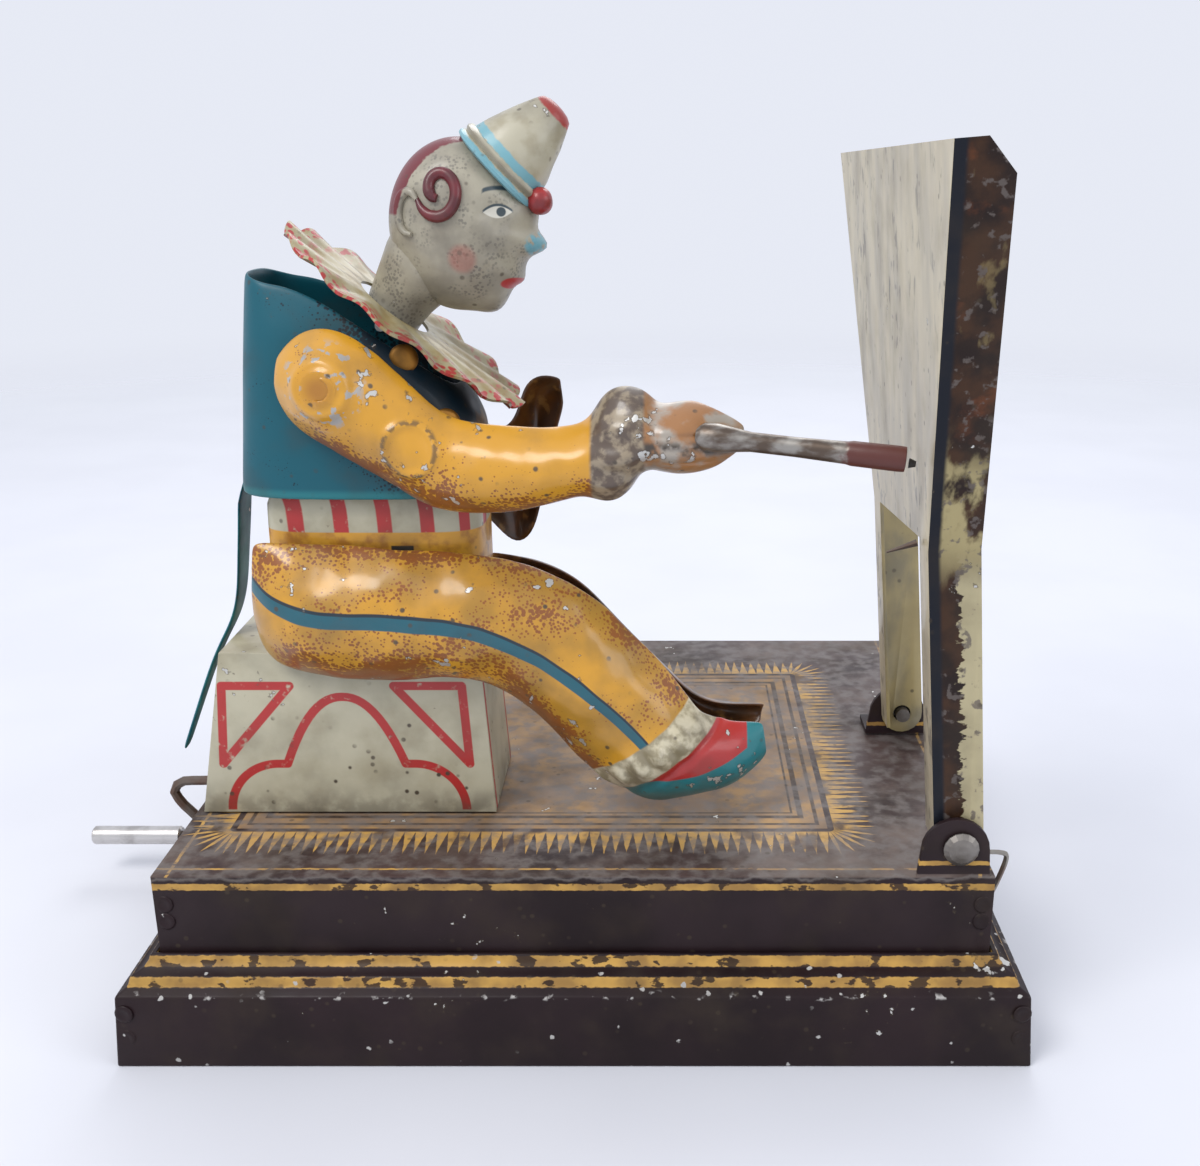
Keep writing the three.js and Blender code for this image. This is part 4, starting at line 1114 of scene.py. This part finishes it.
def pencil_material():
    """A worn steel tube whose far end is dark red-brown."""
    s = Surface("pencil_tube")
    bright = s.mix((0.34, 0.32, 0.29), (0.12, 0.09, 0.07), s.noise(2, 5, (2, 1, 1), seed=131).above(0.5, 0.12))
    worn_end = s.x + (s.noise(1.2, 3, seed=132) - 0.5) * 3
    paint = s.mix(bright, (0.1, 0.025, 0.018), worn_end.above(PAINTED_FROM, 0.6))
    metallic = worn_end.below(PAINTED_FROM, 0.6) * 0.8
    smear = s.noise(1.5, 3, seed=133)
    return s.finish(paint, smear * 0.3 + 0.25, metallic, smear, 0.03)


def make_pencil():
    axis = (PENCIL_END - PENCIL_START).normalized()
    long = (PENCIL_END - PENCIL_START).length
    profile = [(0, -6.4), (1.2, -6.3), (1.7, -5.4), (1.75, -3.6), (1.45, -1.6), (1.2, 0.4), (1.2, long * 0.3),
               (1.36, long * 0.62), (1.38, long * 0.63), (1.5, long * 0.66), (1.55, long * 0.95),
               (1.5, long - 0.1), (1.1, long - 0.02), (0.6, long - 0.3), (0.0, long - 0.3)]
    holder = lathe("pencil_tube", profile, PENCIL_START, axis, 40, 35)
    stands_for(holder, "pencil_holder", pencil_material())
    dress(frame["nodes"]["pencil_lead"], metal("lead", (0.06, 0.06, 0.065), 0.45))


# ---- Crank, rivets, prong and spring ----
def make_wires():
    dark_steel = metal("crank_steel", (0.16, 0.13, 0.11), 0.4, RUST, 0.6)
    dress(frame["nodes"]["crank_wire"], dark_steel)
    bright = metal("grip_steel", (0.62, 0.6, 0.58), 0.2, (0.12, 0.1, 0.09), 0.45)
    low, high = box_mm("crank_grip")
    centre = (low + high) / 2
    long = high.x - low.x
    radius = (high.z - low.z) / 2
    profile = [(0.0, 0.12), (0.7, 0.1), (radius * 0.85, 0.02), (radius, 0.25), (radius, long * 0.3),
               (radius * 0.985, long * 0.31), (radius * 0.985, long * 0.32), (radius, long * 0.33),
               (radius, long - 0.3), (radius * 0.85, long - 0.02), (0.7, long - 0.1), (0.0, long - 0.12)]
    grip = lathe("rolled_grip", profile, (low.x, centre.y, centre.z), (1, 0, 0), 40, 35)
    stands_for(grip, "crank_grip", bright)
    rivet_steel = metal("rivet_steel", (0.24, 0.22, 0.2), 0.36, (0.09, 0.075, 0.06), 0.7)
    for node in ("near_rivet", "far_rivet"):
        dress(frame["nodes"][node], rivet_steel)
    dress(frame["nodes"]["paper_prong"], metal("prong_steel", (0.09, 0.07, 0.06), 0.38, RUST, 0.4))
    dress(frame["nodes"]["easel_spring"], metal("spring_steel", (0.3, 0.28, 0.25), 0.35, RUST, 0.5))


# ---- Easel ----
EASEL_LEAN = math.radians(4.6)


def easel_face_material():
    """Cream paint with long grey smudges and small dark marks."""
    s = Surface("easel_face")
    smudge = s.noise(5, 5, (1, 1, 3.5), seed=141)
    cream = s.mix((0.56, 0.49, 0.33), (0.32, 0.28, 0.21), smudge.above(0.52, 0.2) * 0.7)
    fine = s.noise(1.6, 5, (1, 1, 2), seed=142).above(0.6, 0.05)
    patches = s.noise(9, 3, (1, 1, 2), seed=143).above(0.52, 0.08)
    cream = s.mix(cream, (0.1, 0.09, 0.075), fine * patches * 0.7)
    return tin(s, cream, chips=1.2, grime=0.25, gloss=0.42)


def easel_side_material():
    """Dark brown lacquer worn to gold and grey patches, with a glossy black edge by the front corner."""
    s = Surface("easel_side")
    worn = s.noise(4, 5, (1, 1, 2.2), seed=151)
    pivot = JOINT["easel_tilt"]
    front = s.x - pivot.x + (s.z - pivot.z) * math.tan(EASEL_LEAN)
    ragged = front + (s.noise(1.6, 5, (1, 1, 0.5), seed=156) - 0.5) * 4
    paint = s.mottle((0.016, 0.008, 0.006), (0.05, 0.022, 0.01), 5, 4, 152, 0.5, 0.12)
    paint = s.mix(paint, (0.15, 0.045, 0.014), s.patches(5, 5, 153, 0.6, 0.06) * s.z.above(84, 5) * 0.6)
    paint = s.mix(paint, (0.3, 0.23, 0.1), worn.above(0.62, 0.03) * s.z.above(80, 6) * 0.4)
    paint = s.mix(paint, (0.36, 0.3, 0.15), worn.above(0.5, 0.05) * (s.z - 74).within(8, 4))
    paint = s.mix(paint, (0.46, 0.4, 0.24), ragged.above(0.5, 0.15) * s.z.below(66, 3))
    paint = s.mottle(paint, (0.12, 0.1, 0.09), 1.4, 5, 155, 0.62, 0.04, 0.8)
    paint = s.mix(paint, (0.006, 0.008, 0.014), (front + 3.0).below(1.2, 0.3))
    return tin(s, paint, chips=1.14, grime=0.3, gloss=0.3, coat=0.05, shine=0.2)


def easel_inside_material():
    """Aged cream lacquer inside the flanges."""
    s = Surface("easel_inside")
    paint = s.mix((0.34, 0.27, 0.12), (0.2, 0.17, 0.1), s.noise(5, 4, (1, 1, 2), seed=161).above(0.5, 0.14))
    return tin(s, paint, chips=1.2, grime=0.25, gloss=0.42)


def make_easel():
    """The board's front, its outer sides and everything behind have a material each."""
    board = folded_copy("easel_frame", "tin_easel", 0.2, 2)
    face, side, inside = easel_face_material(), easel_side_material(), easel_inside_material()
    dress(board, face, side, inside)
    for polygon in board.data.polygons:
        normal = polygon.normal
        centre = polygon.center / MM
        if normal.x < -0.75:
            polygon.material_index = 0
        elif (normal.y < -0.2 and centre.y < -38) or (normal.y > 0.2 and centre.y > -5) or normal.x < -0.1:
            polygon.material_index = 1
        else:
            polygon.material_index = 2
    stands_for(board, "easel_frame")


# ---- Hidden works ----
REPLACED = {"base_box", "plinth_frame", "far_ear", "seat_box", "waist", "near_leg", "near_arm", "far_leg",
            "far_arm", "jacket", "coat_tail", "ruff", "head_near", "head_far", "hat", "pompom", "pencil_holder",
            "crank_grip", "easel_frame"}
SHOWN = {"shoulder_shaft", "crank_wire", "near_rivet", "far_rivet", "paper_prong", "easel_spring", "pencil_lead"}


def dress_works():
    """Plain metal for every CAD node that nothing else has dressed or replaced."""
    steel = metal("works_steel", (0.4, 0.39, 0.37), 0.35)
    brass = metal("works_brass", BRASS, 0.35)
    dark = metal("works_dark", (0.14, 0.12, 0.1), 0.45, RUST, 0.5)
    by_slot = {"plain_steel": steel, "bright_steel": steel, "brass": brass}
    for name, node in frame["nodes"].items():
        if name not in SHOWN | REPLACED:
            dress(node, by_slot.get(SLOT[name], dark))


# ---- Build ----
def main():
    make_base()
    make_seat()
    make_limbs()
    make_jacket()
    make_ruff()
    make_head()
    make_pencil()
    make_wires()
    make_easel()
    dress_works()
    add_camera()
    add_studio()


main()
